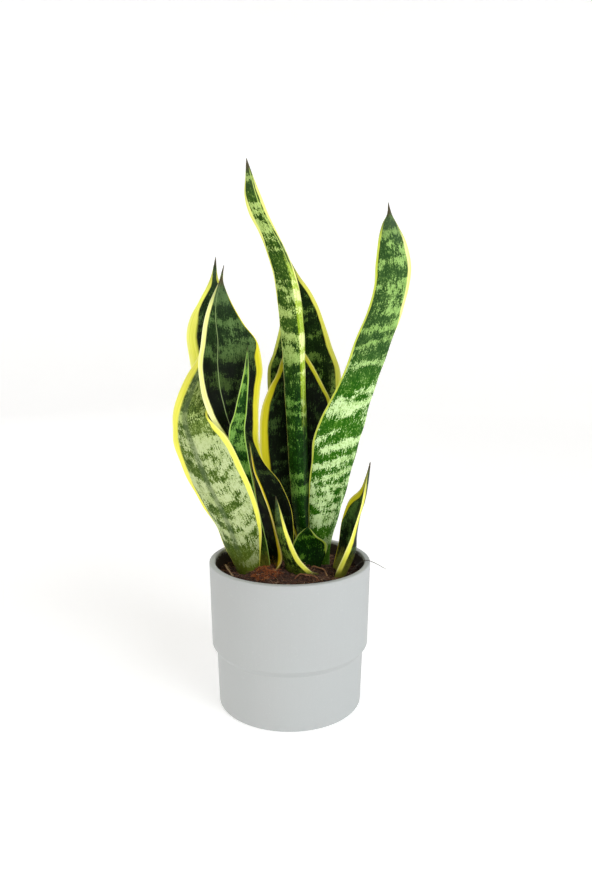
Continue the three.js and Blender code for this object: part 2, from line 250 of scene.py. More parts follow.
def check_inside(piece, node, slack):
    """Raises when a piece reaches more than slack millimetres past the CAD node that it stands for."""
    low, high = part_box(node)
    points = np.empty(len(piece.data.vertices) * 3)
    piece.data.vertices.foreach_get("co", points)
    points = points.reshape(-1, 3)
    past = max((np.array(low) - points.min(0)).max(), (points.max(0) - np.array(high)).max())
    if past > slack * MM:
        raise RuntimeError(f"{piece.name} stands {past / MM:.2f} mm outside {node}")


def curve_points(points, params):
    """Points, and directions, of the smooth curve through a row of points at params of 0 to len - 1."""
    rows = np.asarray(points, float)
    rows = np.vstack([2 * rows[0] - rows[1], rows, 2 * rows[-1] - rows[-2]])
    span = np.minimum(params.astype(int), len(points) - 2)
    t = (params - span)[:, None]
    before, start, end, after = (rows[span + shift] for shift in range(4))
    slope_in, slope_out = (end - before) / 2, (after - start) / 2
    square = -3 * start + 3 * end - 2 * slope_in - slope_out
    cube = 2 * start - 2 * end + slope_in + slope_out
    place = start + t * (slope_in + t * (square + t * cube))
    heading = slope_in + t * (2 * square + 3 * t * cube)
    return place, heading


def unit(vectors):
    return vectors / np.maximum(np.linalg.norm(vectors, axis=-1, keepdims=True), 1e-9)


def smooth_step(values, low, high):
    t = np.clip((values - low) / (high - low), 0, 1)
    return t * t * (3 - 2 * t)


def ring_faces(rings, count):
    """Quads between rings of count points each, then a fan over the first ring and one over the last.
    The fans' middle points follow the rings: the base's first, then the tip's."""
    faces = []
    for ring in range(rings - 1):
        for i in range(count):
            j = (i + 1) % count
            low, high = ring * count, (ring + 1) * count
            faces.append((low + i, low + j, high + j, high + i))
    base_middle, tip_middle = rings * count, rings * count + 1
    last = (rings - 1) * count
    for i in range(count):
        j = (i + 1) % count
        faces.append((j, i, base_middle))
        faces.append((last + i, last + j, tip_middle))
    return faces


# ------------------------------------------------------------------ settings

POT_GREY = tone(186, 188, 188)


class PotSettings(bpy.types.PropertyGroup):
    grey: bpy.props.FloatVectorProperty(
        name="Grey", description="Colour of the pot", subtype="COLOR", size=4, min=0, max=1,
        default=POT_GREY)
    speckle: bpy.props.FloatProperty(
        name="Speckle", description="How much the fine dots in the pot show", default=0.5,
        min=0, max=1, subtype="FACTOR")
    rim_rounding: bpy.props.FloatProperty(
        name="Rim rounding", description="Radius of the edges of the rim and the foot",
        default=1.2 * MM, min=0.2 * MM, max=2.4 * MM, unit="LENGTH")
    segments: bpy.props.IntProperty(
        name="Segments", description="Faces round the pot", default=192, min=48, max=384)


class LeafSettings(bpy.types.PropertyGroup):
    ring_spacing: bpy.props.FloatProperty(
        name="Ring spacing", description="Distance between two rings of a blade's mesh",
        default=1.9 * MM, min=1 * MM, max=8 * MM, unit="LENGTH")
    lanes: bpy.props.IntProperty(
        name="Lanes", description="Faces across one side of a blade", default=32, min=8, max=60)
    ripple: bpy.props.FloatProperty(
        name="Ripple", description="How far a blade's margins wave in and out",
        default=0.55 * MM, min=0, max=2 * MM, unit="LENGTH")
    margin_tint: bpy.props.FloatVectorProperty(
        name="Margin tint", description="Multiplies the colour of every margin", subtype="COLOR",
        size=4, min=0, max=1, default=(1, 1, 1, 1))
    field_tint: bpy.props.FloatVectorProperty(
        name="Field tint", description="Multiplies the green of every blade", subtype="COLOR",
        size=4, min=0, max=1, default=(1, 1, 1, 1))
    spine_brown: bpy.props.FloatVectorProperty(
        name="Spine brown", description="Colour of the dry spine at a blade's tip",
        subtype="COLOR", size=4, min=0, max=1, default=tone(78, 72, 52))


class MixSettings(bpy.types.PropertyGroup):
    grain: bpy.props.FloatProperty(
        name="Grain", description="Size of the mesh over the potting mix", default=1.3 * MM,
        min=0.8 * MM, max=4 * MM, unit="LENGTH")
    crumb_density: bpy.props.FloatProperty(
        name="Crumb density", description="Crumbs on a square metre of the mix",
        default=230000, min=0, max=400000)
    crumb_size: bpy.props.FloatProperty(
        name="Crumb size", description="Radius of the largest crumb", default=2.1 * MM,
        min=0.5 * MM, max=5 * MM, unit="LENGTH")
    fibre_density: bpy.props.FloatProperty(
        name="Fibre density", description="Loose fibres on a square metre of the mix",
        default=62000, min=0, max=150000)
    fibre_length: bpy.props.FloatProperty(
        name="Fibre length", description="Length of the longest loose fibre", default=13 * MM,
        min=3 * MM, max=30 * MM, unit="LENGTH")
    seed: bpy.props.IntProperty(
        name="Seed", description="Another number scatters the crumbs and fibres anew", default=7)


class StageSettings(bpy.types.PropertyGroup):
    wall_white: bpy.props.FloatVectorProperty(
        name="White", description="Colour of the floor and the curved wall", subtype="COLOR",
        size=4, min=0, max=1, default=(0.93, 0.93, 0.93, 1))
    key_power: bpy.props.FloatProperty(
        name="Key light", description="Power of the large light at the right", default=20,
        min=0, unit="POWER")
    fill_power: bpy.props.FloatProperty(
        name="Fill light", description="Power of the large light at the left", default=3.5,
        min=0, unit="POWER")
    back_power: bpy.props.FloatProperty(
        name="Back light", description="Power of the light behind the plant, at the left",
        default=5.5, min=0, unit="POWER")
    sky: bpy.props.FloatProperty(
        name="Sky", description="Brightness of the even light from above", default=0.28, min=0)
    camera_place: bpy.props.FloatVectorProperty(
        name="Camera place", description="Where the camera stands", subtype="TRANSLATION",
        unit="LENGTH", default=(0, -0.6, 0.3213))
    camera_pitch: bpy.props.FloatProperty(
        name="Camera pitch", description="How far the camera looks down", subtype="ANGLE",
        default=math.radians(8.815))
    camera_turn: bpy.props.FloatProperty(
        name="Camera turn", description="How far the camera looks to the right of the pot",
        subtype="ANGLE", default=math.radians(0.518))
    camera_lens: bpy.props.FloatProperty(
        name="Lens", description="Focal length in millimetres on a 36 mm wide sensor",
        default=28.84, min=10, max=200)


# ------------------------------------------------------------------ pot

POT_RIM_RADIUS = 70
POT_SHOULDER = (68.4, 54)  # radius and height just above the step
POT_WAIST = (64.4, 48.5)  # and just below it
POT_FOOT_RADIUS = 62.8
POT_WALL = 5
POT_FLOOR = 6
STEP_ROUNDING = 0.9
INNER_ROUNDING = 4
CORNER_STEPS = 6
POT_SLACK = 0.05  # most that the turned pot may stand past the pot of the frame
INSIDE_FROM = (3.6, 4.4)  # how far in from the rim's edge the inside of the wall begins
STAIN_AND_SHADE_TOP = (129.5, 126)  # heights at which the earth stain and painted shade on that wall begin and are full
STAIN_AND_SHADE_FOOT = (58, 62)  # and those at which they end again, under the mix


def rounded_corner(corner, before, after, radius):
    """Points of an arc that rounds the corner between two neighbours of an outline."""
    into = unit(np.array(before, float) - corner)
    out = unit(np.array(after, float) - corner)
    half = math.acos(np.clip(into @ out, -1, 1)) / 2
    reach = radius / math.tan(half)
    middle = np.array(corner, float) + unit(into + out) * radius / math.sin(half)
    start, end = corner + into * reach - middle, corner + out * reach - middle
    sweep = math.pi - 2 * half
    points = []
    for k in range(CORNER_STEPS + 1):
        t = k / CORNER_STEPS
        weight = math.sin((1 - t) * sweep), math.sin(t * sweep)
        points.append(middle + (start * weight[0] + end * weight[1]) / math.sin(sweep))
    return points


def pot_outline(rounding):
    """Half a section of the pot as (radius, height), from under the foot round to the inner floor."""
    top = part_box("pot")[1].z / MM
    inner_rim = POT_RIM_RADIUS - POT_WALL
    inner_shoulder = POT_SHOULDER[0] - POT_WALL
    inner_waist = POT_WAIST[0] - POT_WALL
    corners = [
        ((POT_FOOT_RADIUS, 0), rounding),
        (POT_WAIST, STEP_ROUNDING),
        (POT_SHOULDER, STEP_ROUNDING),
        ((POT_RIM_RADIUS, top), rounding),
        ((inner_rim, top), rounding),
        ((inner_shoulder, POT_SHOULDER[1]), INNER_ROUNDING),
        ((inner_waist, POT_WAIST[1]), INNER_ROUNDING),
        ((POT_FOOT_RADIUS - POT_WALL, POT_FLOOR), INNER_ROUNDING),
    ]
    places = [np.array(place, float) for place, _ in corners]
    neighbours = [np.array((0, 0.0))] + places + [np.array((0, float(POT_FLOOR)))]
    outline = []
    for index, (_, radius) in enumerate(corners):
        corner, before, after = places[index], neighbours[index], neighbours[index + 2]
        outline.extend(rounded_corner(corner, before, after, radius))
    return outline


def pot_material(settings):
    s = Shader("pot_composite")
    x, y, z = s.place()
    radius = (x * x + y * y) ** 0.5
    dots = s.noise(s.vector(x * 1.5, y * 1.5, z * 1.5), 3, 0.7)
    pale_dots = s.noise(s.vector(x * 1.1 + 40, y * 1.1, z * 1.1), 2, 0.6)
    strokes = s.noise(s.vector(x * 0.35, y * 0.35, z * 0.018), 3, 0.6)
    clouds = s.noise(s.vector(x * 0.03, y * 0.03, z * 0.03), 2)
    worn = s.step(s.noise(s.vector(x * 0.22, y * 0.22, z * 0.22), 4, 0.65), 0.62, 0.74)
    specks = s.step(dots, 0.40, 0.28) * settings.speckle
    flecks = s.step(pale_dots, 0.62, 0.74) * settings.speckle
    grey = tuple(settings.grey)
    cool = s.mix(strokes * 0.9 - 0.1, tuple(c * 0.93 for c in grey[:3]) + (1,), grey)
    cloudy = s.mix(clouds, cool, tone(181, 185, 185))
    dotted = s.mix(specks * 0.34, cloudy, tone(140, 142, 138))
    flecked = s.mix(flecks * 0.4 + worn * 0.10, dotted, tone(222, 224, 220))
    # The inside of the wall goes dark brown below the rim: partly a soil stain, partly painted shade in the
    # pot's hollow
    inside = s.step(POT_RIM_RADIUS - radius, *INSIDE_FROM)
    ragged_top = s.noise(s.vector(x * 0.16, y * 0.16, z * 0.3), 3, 0.6) * 7
    stain_and_shade = inside * s.step(z + ragged_top, *STAIN_AND_SHADE_TOP) * s.step(z, *STAIN_AND_SHADE_FOOT)
    earth_and_shade = s.mix(s.step(dots, 0.35, 0.65), tone(34, 24, 16), tone(66, 50, 36))
    s.set(
        Base_Color=s.mix(stain_and_shade, flecked, earth_and_shade),
        Roughness=0.66 + strokes * 0.14 + stain_and_shade * 0.12,
        Normal=s.bump(dots * 0.6 + strokes * 0.4 - specks * 0.5, 0.35, 0.12 * MM),
    )
    return s.material


class SNAKE_OT_pot(bpy.types.Operator):
    """Turn the stepped pot from its outline"""
    bl_idname = "snake_plant.pot"
    bl_label = "Pot"

    def execute(self, context):
        settings = context.scene.snake_pot
        outline = pot_outline(settings.rim_rounding / MM)
        count = settings.segments
        angles = np.arange(count) * 2 * math.pi / count
        points = []
        for radius, height in outline:
            points.extend((radius * math.cos(a), radius * math.sin(a), height) for a in angles)
        points += [(0, 0, 0), (0, 0, POT_FLOOR)]
        material = pot_material(settings)
        faces = ring_faces(len(outline), count)
        piece = add_piece("pot_turned", points, faces, material, ["pot"])
        check_inside(piece, "pot", POT_SLACK)
        return {"FINISHED"}


# ------------------------------------------------------------------ leaves

# Each leaf is a row of stations from its buried base to its tip, in millimetres: left margin, right
# margin, how far the blade's middle stands out of the line between them, and its thickness. The crest
# is the power of the curve across a blade: 2 is evenly round, and less makes a sharper keel. The leaves
# of the frame are built on the same stations, so that the fine blades lie on them.
LEAVES = {
    "leaf_front_left": {
        "crest": 2,
        "stations": [
            ((-43, 6, 88), (-29, 4, 88), 4, 4.5),
            ((-46, 4, 112), (-27, 1, 112), 6, 4),
            ((-50, 2, 124), (-26, -2, 125), 8, 3.6),
            ((-57, 0, 138), (-25, -5, 140), 10, 3.2),
            ((-63, -2, 156), (-24, -12, 156), 11, 3),
            ((-74, -3, 174), (-27, -15, 178), 12, 2.8),
            ((-87, -2, 197), (-36, -16, 203), 12, 2.6),
            ((-98, 0, 226), (-50.5, -14, 234), 9, 2.4),
            ((-100, 2, 240), (-61.3, -12, 245.5), 6, 2.2),
            ((-99.5, 3.5, 253), (-68.5, -7, 254), 4, 2.1),
            ((-95, 5, 270), (-66, 1, 268), 4, 2.1),
            ((-87, 7, 287), (-63, 5, 287), 3, 2),
            ((-76, 7, 306), (-57, 5, 306), 3, 1.8),
            ((-65, 8, 343), (-54, 7, 343), 2, 1.6),
            ((-58, 6, 366), (-55, 5, 366), 0.5, 1.4),
        ],
        "tip": (-54, 5, 378),
    },
    "leaf_left_centre": {
        "crest": 2,
        "stations": [
            ((-36, 22, 88), (-22, 20, 88), -2, 4.5),
            ((-37, 19, 114), (0, 20.5, 114), -4, 4),
            ((-36, 16, 158), (3, 20.5, 156), -4, 3.4),
            ((-41, 13, 190), (-7, 20, 188), -4, 3),
            ((-48, 9, 212), (-22, 19, 208), -4, 2.9),
            ((-54, 5.5, 227), (-26, 17.5, 222), -4, 2.8),
            ((-59.3, 1, 237), (-27, 16, 232), -4, 2.8),
            ((-63.6, -5, 245.5), (-27, 15.5, 243), -4, 2.7),
            ((-66.2, -11, 252), (-27, 15, 252), -4, 2.6),
            ((-68.9, -15.5, 260), (-26.5, 14, 262), -4, 2.5),
            ((-72.5, -20.5, 276), (-25, 12, 276), -6.5, 2.4),
            ((-73, -24, 297), (-23, 10, 292), -10, 2.2),
            ((-71, -23, 316), (-27, 8, 314), -8, 2),
            ((-68, -20, 334), (-38, 5, 329), -6, 1.9),
            ((-64, -16, 347), (-48, 0, 347), -3, 1.8),
            ((-58, -13, 360), (-53, -7, 360), -1, 1.5),
        ],
        "tip": (-54, -12, 368),
    },
    "leaf_back_left": {
        "crest": 2,
        "stations": [
            ((-48, 30, 88), (-32, 33, 88), -3, 4.5),
            ((-52, 29, 114), (-30, 32, 114), -2, 4),
            ((-66, 27, 155), (-38, 32, 155), 0, 3.2),
            ((-77, 28, 205), (-42, 31, 205), 3, 2.8),
            ((-83, 28, 255), (-44, 30, 255), 5, 2.6),
            ((-87, 28, 296), (-46, 29, 296), 6, 2.4),
            ((-90, 27, 318), (-46, 28, 320), 6, 2.2),
            ((-86, 26, 335), (-48, 28, 340), 4, 2),
            ((-78, 25, 349), (-53, 27, 352), 2, 1.9),
            ((-68, 25, 368), (-61, 26, 368), 0.5, 1.6),
        ],
        "tip": (-63, 26, 387),
    },
    "leaf_small_left": {
        "crest": 2,
        "stations": [
            ((-27, 9, 88), (-17, 6, 88), -1, 4),
            ((-29, 7, 114), (-17, 4, 114), -2, 3.5),
            ((-36, 2, 140), (-20, 1, 140), -3, 3),
            ((-45, -4, 178), (-28, -3, 178), -3, 2.6),
            ((-51, -9, 234), (-37, -6, 233), -3, 2.2),
            ((-46, -6, 257), (-36, -4, 257), -2, 2),
            ((-39, -3, 287), (-34, -2, 287), -1, 1.7),
        ],
        "tip": (-35, 0, 311),
    },
    "leaf_clasping": {
        "crest": 2.5,
        "stations": [
            ((-18, 13, 88), (-20, -4, 88), -7, 4.5),
            ((-17, 15, 114), (-24, -7, 114), -11, 3.6),
            ((-20, 15, 121), (-13, -8, 119), -6, 3.4),
            ((-24, 15, 130), (-7, -7, 128), -4, 3),
            ((-26, 16, 147), (-9, -8, 142), -3, 2.8),
            ((-28, 15, 166), (-14, -8, 160), -3, 2.6),
            ((-32, 11, 194), (-24, -4, 188), -3, 2.3),
            ((-34, 7, 209), (-31, -2, 206), -2, 2),
        ],
        "tip": (-34, -6, 231),
    },
    "leaf_small_front": {
        "crest": 2.5,
        "stations": [
            ((1, 3, 88), (12, -3, 88), 3, 4.5),
            ((-2, 1, 112), (26, -9, 113), 8, 4),
            ((-4, -1, 122), (18, -13, 120), 6, 3.6),
            ((-5, -2, 134), (8, -15, 132), 5, 3.2),
            ((-10, -4, 152), (-1, -13, 152), 3.5, 2.8),
            ((-12, -2, 167), (-7, -9, 170), 1.5, 2.2),
        ],
        "tip": (-12, -3, 184),
    },
    "leaf_cut_stub": {
        "crest": 2,
        "stations": [
            ((10, 13, 88), (24, 13, 88), -2, 4.5),
            ((4, 10, 114), (27, 10, 114), -3, 4),
            ((2, 10, 132), (33.5, 10.5, 135), -3, 3.4),
            ((6, 9, 144), (24, 10, 144), -1.5, 3),
            ((12, 9, 150), (19, 9, 150), -0.5, 2.4),
        ],
        "tip": (16, 9, 153),
    },
    "leaf_tall_keeled": {
        "crest": 1.4,
        "stations": [
            ((9, 29, 88), (21, 29, 88), 4, 5),
            ((9, 29, 114), (20, 29, 114), 5, 4.5),
            ((7, 29, 142), (18, 31, 142), 6, 4),
            ((2, 27, 172), (17, 29, 173), 8, 3.6),
            ((-1, 22, 214), (16, 26, 214), 10, 3.3),
            ((-4, 16, 268), (14, 22, 267), 12, 3),
            ((-6, 10, 303), (13, 17, 306), 12, 2.8),
            ((-8, 4, 328), (12, 12, 329), 11, 2.6),
            ((-11, -2, 355), (9, 7, 354), 9, 2.4),
            ((-14, -7, 372), (4, 2, 372), 8, 2.2),
            ((-19, -12, 388), (-3, -4, 389), 7, 2.1),
            ((-25, -16, 402), (-10, -9, 402), 5, 2),
            ((-32, -20, 415), (-17, -15, 416), 4, 1.9),
            ((-35, -22, 428), (-22, -19, 428), 3, 1.8),
            ((-34, -24, 442), (-28, -23, 442), 1.5, 1.6),
        ],
        "tip": (-33, -26, 455),
    },
    "leaf_broad_shaded": {
        "crest": 2,
        "stations": [
            ((8, 32, 88), (28, 33, 88), -8, 5),
            ((6, 30, 114), (34, 31, 114), -11, 4.2),
            ((5, 30, 138), (37, 34, 137), -12, 3.6),
            ((-4, 30, 158), (39, 35, 160), -12, 3.2),
            ((-16, 28, 177), (40, 35, 185), -12, 3),
            ((-24, 26, 195), (40, 34, 209), -12, 2.8),
            ((-27, 24, 224), (39, 32, 234), -12, 2.6),
            ((-25, 24, 254), (37, 31, 260), -10, 2.4),
            ((-19, 25, 272), (30, 31, 276), -7, 2.2),
            ((-12, 27, 285), (21, 31, 293), -4, 2),
            ((-7, 29, 299), (12, 32, 307), -2, 1.7),
        ],
        "tip": (3, 31, 320),
    },
    "leaf_back_centre": {
        "crest": 2,
        "stations": [
            ((4, 46, 88), (22, 46, 88), -2, 5),
            ((0, 46, 114), (30, 46, 114), -3, 4.2),
            ((1, 48, 150), (36, 48, 150), -5, 3.4),
            ((-5, 50, 190), (41, 50, 190), -6, 3),
            ((-12, 51, 230), (45, 51, 230), -7, 2.8),
            ((-19, 51, 261), (47, 50, 261), -7, 2.6),
            ((-20, 50, 288), (46, 48, 288), -7, 2.4),
            ((-15, 50, 304), (38, 46, 310), -6, 2.3),
            ((-11, 48, 318), (33, 44, 326), -5, 2.1),
            ((-8, 46, 333), (27, 43, 342), -4, 2),
            ((-5, 44, 351), (19, 43, 358), -3, 1.8),
            ((-2, 43, 372), (8, 43, 373), -1, 1.5),
        ],
        "tip": (-1, 43, 388),
    },
    "leaf_right_arching": {
        "crest": 2,
        "stations": [
            ((22, 24, 88), (36, 20, 88), 4, 5),
            ((19, 24, 112), (36, 22, 112), 5, 4.5),
            ((17, 23, 136), (37, 24, 132), 6, 4),
            ((17, 20, 160), (44, 23, 159), 7, 3.6),
            ((17, 17, 184), (50, 20, 183), 7, 3.3),
            ((19, 12, 211), (57, 17, 211), 7, 3),
            ((20, 8, 230), (61, 14, 229), 7, 2.9),
            ((25, 5, 246), (65, 11, 245), 7, 2.8),
            ((35, 2, 267), (70, 8, 265), 6, 2.7),
            ((45, 0, 288), (76, 5, 286), 5, 2.6),
            ((56, 0, 319), (87, 3, 318), 5, 2.5),
            ((65, 0, 341), (94, 2, 339), 5, 2.4),
            ((70, 0, 361), (99, 2, 359), 4, 2.3),
            ((71, 1, 379), (101, 2, 376), 4, 2.2),
            ((73, 2, 398), (96, 3, 396), 3, 2),
            ((76, 3, 410), (89, 3, 409), 1.5, 1.8),
            ((80, 4, 418), (84, 4, 418), 0.5, 1.5),
        ],
        "tip": (81, 5, 428),
    },
    "leaf_small_right": {
        "crest": 2.5,
        "stations": [
            ((33, 4, 88), (35, -10, 88), -5, 4.5),
            ((37.5, 7, 114), (38, -14, 114), -9, 3.8),
            ((43, 11, 136), (46, -20, 137), -11, 3.2),
            ((46, 11, 158), (51, -22, 151), -8, 2.8),
            ((52, 8, 177), (56, -22, 167), -5, 2.5),
            ((61, 3, 188), (60, -20, 180), -3, 2.2),
            ((65, -2, 200), (63, -16, 194), -2, 1.9),
        ],
        "tip": (68, -10, 215),
    },
}

# Yellows of the margins
LEMON = tone(252, 248, 106)
CREAM = tone(254, 254, 172)
# Lemon margin darkened to mustard: painted shade on margins in the shade of other blades
MUSTARD_PAINTED_SHADE = tone(214, 202, 38)

# Tones of a blade's field, from its darkest marks to its palest
SAGE = [tone(54, 78, 20), tone(90, 114, 44), tone(128, 150, 76), tone(168, 185, 122), tone(192, 205, 152)]
OLIVE_SAGE = [
    tone(52, 74, 26), tone(100, 122, 50), tone(132, 156, 74), tone(154, 176, 92), tone(180, 198, 122)]
# Near-black bottle green: the blade's own dark face, darkened further with painted shade deep in the plant
BOTTLE_PAINTED_SHADE = [tone(3, 8, 1), tone(6, 13, 2), tone(16, 27, 8), tone(30, 46, 15), tone(58, 78, 32)]
MOSS = [tone(16, 34, 10), tone(30, 52, 20), tone(46, 70, 31), tone(66, 92, 44), tone(92, 120, 66)]
SHADOW = [tone(5, 12, 2), tone(9, 19, 4), tone(17, 31, 9), tone(32, 51, 19), tone(60, 84, 38)]
GRASS = [tone(10, 42, 0), tone(22, 62, 3), tone(56, 98, 22), tone(98, 138, 50), tone(138, 176, 86)]
# Painted shade: grass greens darkened for the lower part of a blade deep in the plant
GRASS_PAINTED_SHADE = [tone(8, 20, 3), tone(14, 32, 6), tone(26, 50, 12), tone(40, 68, 20), tone(60, 92, 32)]
DEEP_GRASS = [tone(8, 40, 0), tone(24, 62, 2), tone(52, 92, 14), tone(76, 114, 26), tone(118, 154, 60)]
FRESH = [tone(30, 58, 8), tone(52, 84, 18), tone(92, 122, 42), tone(142, 168, 82), tone(176, 200, 116)]
# Painted light: pale lime tones for the side of a keeled blade that faces the light
LIME_PAINTED_LIGHT = [tone(116, 150, 14), tone(164, 194, 34), tone(198, 222, 84), tone(226, 244, 138), tone(244, 252, 176)]
STRIPED = [tone(30, 86, 0), tone(52, 108, 8), tone(110, 158, 56), tone(182, 216, 138), tone(214, 240, 178)]
STRIPED_HIGH = [
    tone(38, 70, 28), tone(60, 94, 42), tone(96, 132, 64), tone(130, 168, 84), tone(156, 194, 108)]
LEAF_GREEN = [tone(8, 40, 0), tone(18, 58, 6), tone(40, 84, 18), tone(70, 116, 34), tone(118, 162, 74)]
BACKGROUND = [tone(8, 26, 2), tone(20, 42, 7), tone(38, 62, 17), tone(64, 92, 32), tone(104, 134, 58)]

# How a blade looks. Widths and heights are in millimetres, and a lane is a place across the blade,
# from -1 at its left margin to 1 at its right.
DEFAULT_LOOK = {
    "low": GRASS,  # field tones in the lower part and in the upper part
    "high": GRASS,
    "turn": (200, 260),  # heights between which the one turns into the other
    "base": tone(128, 130, 44),  # where the blade comes out of the mix
    "base_top": 140,  # height at which that tone has gone
    "left": (LEMON, [(120, 5.0)]),  # colour of a margin, and its width at some heights; mustard and duller yellows are painted shade on margins in the shade
    "right": (LEMON, [(120, 5.0)]),
    "band": 9.0,  # length of a cross-band along the blade
    "threshold": 0.5,  # more makes the dark marks larger
    "arch": 0.0,  # how far the cross-bands sag away from the middle, in mm for each mm squared
    "slant": 0.0,  # how far they climb towards the left margin, in mm for each mm
    "rib": None,  # (base lane, tip lane, half width, depth, colour, strength, lowest height)
    "pale_inside": None,  # (colour, width, heights where it goes) of a strip inside the right margin
    "bright_half": None,  # (tones, heights where they come, where they go) of painted light on the half right of the keel
    "ripple": 1.0,  # how much of the ripple of the settings its margins have
    "share": 0.3,  # most of the breadth that one margin takes up
    "spine": 9,  # length of the dry brown end
    "greying": 0.5,  # how much the field greys towards that end
    "seed": 0,  # another number moves all the marks
}


def look(**changes):
    return {**DEFAULT_LOOK, **changes}


LOOKS = {
    "leaf_front_left": look(
        low=SAGE, high=OLIVE_SAGE, turn=(225, 262), base=tone(98, 112, 28), base_top=150,
        left=(LEMON, [(150, 3.0), (178, 7.5), (215, 9.0), (300, 8.0)]),
        right=(LEMON, [(120, 0.8), (150, 3.2), (175, 4.4), (240, 5.2), (252, 2.0)]),
        band=11, threshold=0.46, arch=-0.03,
        # Painted shade: this rib's grey-green is the soft shade in the crease along the blade
        rib=(-0.05, -0.25, 2.4, 0.3, tone(86, 104, 70), 0.6, 120), seed=3),
    "leaf_left_centre": look(
        low=BOTTLE_PAINTED_SHADE, high=MOSS, turn=(280, 330),
        left=(CREAM, [(225, 5.4), (330, 5.6), (352, 4.4)]),
        right=(tone(232, 222, 56), [(205, 0.3), (235, 5.0), (300, 5.4), (316, 0.8)]),
        band=10, threshold=0.58,
        rib=(-0.25, -0.3, 0.35, 0.25, tone(150, 170, 110), 0.8, 120), seed=11),
    "leaf_back_left": look(
        low=SHADOW, high=MOSS, turn=(300, 350),
        left=(tone(255, 255, 120), [(250, 5), (300, 11), (325, 10), (350, 4)]),
        right=(LEMON, [(120, 4), (350, 2)]), threshold=0.56, seed=17),
    "leaf_small_left": look(
        low=GRASS_PAINTED_SHADE, high=LEAF_GREEN, turn=(172, 200),
        left=(tone(160, 196, 76), [(120, 0.5), (200, 0.8)]),
        right=(tone(150, 188, 70), [(120, 0.4), (200, 0.8)]),
        band=7, threshold=0.53, ripple=0.4, spine=5, seed=23),
    "leaf_clasping": look(
        low=BOTTLE_PAINTED_SHADE, high=MOSS, turn=(190, 225), base=tone(190, 150, 36), base_top=124, share=0.52,
        left=(tone(170, 170, 60), [(120, 3.0), (190, 1.2)]),
        right=(tone(224, 200, 36), [(125, 8.0), (150, 7.0), (170, 5.0), (190, 2.2), (215, 1.2)]),
        threshold=0.58, ripple=0.5, spine=4, seed=29),
    "leaf_small_front": look(
        # Painted shade: the lower tones are the blade's dark green darkened further for its shaded outer
        # face
        low=[tone(12, 24, 3), tone(24, 40, 7), tone(42, 60, 14), tone(66, 88, 24), tone(98, 122, 46)],
        high=MOSS, turn=(150, 180), base=tone(80, 92, 24), base_top=124,
        left=(tone(150, 160, 52), [(120, 0.8)]),
        right=(LEMON, [(120, 4.0), (140, 3.4), (165, 2.0), (175, 1.2)]),
        band=5, threshold=0.53, ripple=0.4, spine=6, seed=31),
    "leaf_cut_stub": look(
        low=[tone(6, 32, 2), tone(14, 50, 5), tone(34, 76, 10), tone(60, 104, 22), tone(96, 142, 42)],
        high=DEEP_GRASS, base=tone(22, 44, 10), base_top=126,
        left=(tone(158, 182, 70), [(127, 0.0), (132, 1.0), (150, 1.4)]),
        right=(tone(166, 188, 66), [(127, 0.0), (132, 2.4), (150, 2.0)]),
        band=6, threshold=0.56, ripple=0.2, spine=-4, greying=0.0, seed=37),
    "leaf_tall_keeled": look(
        low=LEAF_GREEN, high=FRESH, turn=(262, 330), base=tone(60, 104, 20), base_top=150,
        left=(tone(236, 238, 140), [(330, 0.4), (385, 1.4), (410, 3.0), (436, 1.4)]),
        right=(tone(250, 250, 150), [(262, 0.5), (345, 1.2), (370, 4.5), (445, 3.4)]),
        band=7, threshold=0.575,
        rib=(0.30, 0.30, 0.4, 0.3, tone(196, 218, 110), 0.9, 232),
        bright_half=(LIME_PAINTED_LIGHT, (238, 290), (384, 366)), ripple=0.5, spine=10, greying=0.3, seed=41),
    "leaf_broad_shaded": look(
        low=SHADOW, high=SHADOW, turn=(260, 310),
        left=(MUSTARD_PAINTED_SHADE, [(150, 3.0), (180, 8.0), (215, 9.5), (250, 8.0), (290, 5.0)]),
        right=(tone(220, 212, 56), [(240, 3.0), (290, 3.4)]),
        band=10, threshold=0.56, seed=43),
    "leaf_back_centre": look(
        low=BACKGROUND, high=BACKGROUND,
        left=(tone(214, 220, 104), [(200, 3.0), (340, 2.6)]),
        right=(tone(246, 242, 108), [(240, 5.5), (300, 4.6), (345, 3.2)]),
        pale_inside=(tone(150, 178, 88), 5.0, (300, 265)), threshold=0.54, seed=47),
    "leaf_right_arching": look(
        low=STRIPED, high=STRIPED_HIGH, turn=(262, 318), base=tone(66, 106, 22), base_top=165,
        left=(tone(214, 226, 96), [(150, 0.9), (230, 1.8), (330, 2.0), (400, 2.0)]),
        right=(tone(250, 250, 166), [(318, 0.2), (345, 3.4), (385, 4.4), (408, 2.0)]),
        band=9.5, slant=-0.3, threshold=0.53, arch=0.006, spine=12, greying=0.7, seed=53),
    "leaf_small_right": look(
        # Painted shade: the lower tones are darkened for the inside of the blade, deep in the shade
        low=[tone(6, 18, 4), tone(12, 28, 7), tone(22, 42, 13), tone(38, 62, 22), tone(76, 108, 48)],
        high=MOSS, turn=(170, 205),
        left=(MUSTARD_PAINTED_SHADE, [(155, 0.5), (170, 3.0), (182, 6.5), (200, 3.0)]), share=0.42,
        right=(LEMON, [(118, 4.6), (150, 5.4), (185, 3.6), (205, 1.0)]),
        threshold=0.56, ripple=0.5, seed=59),
}

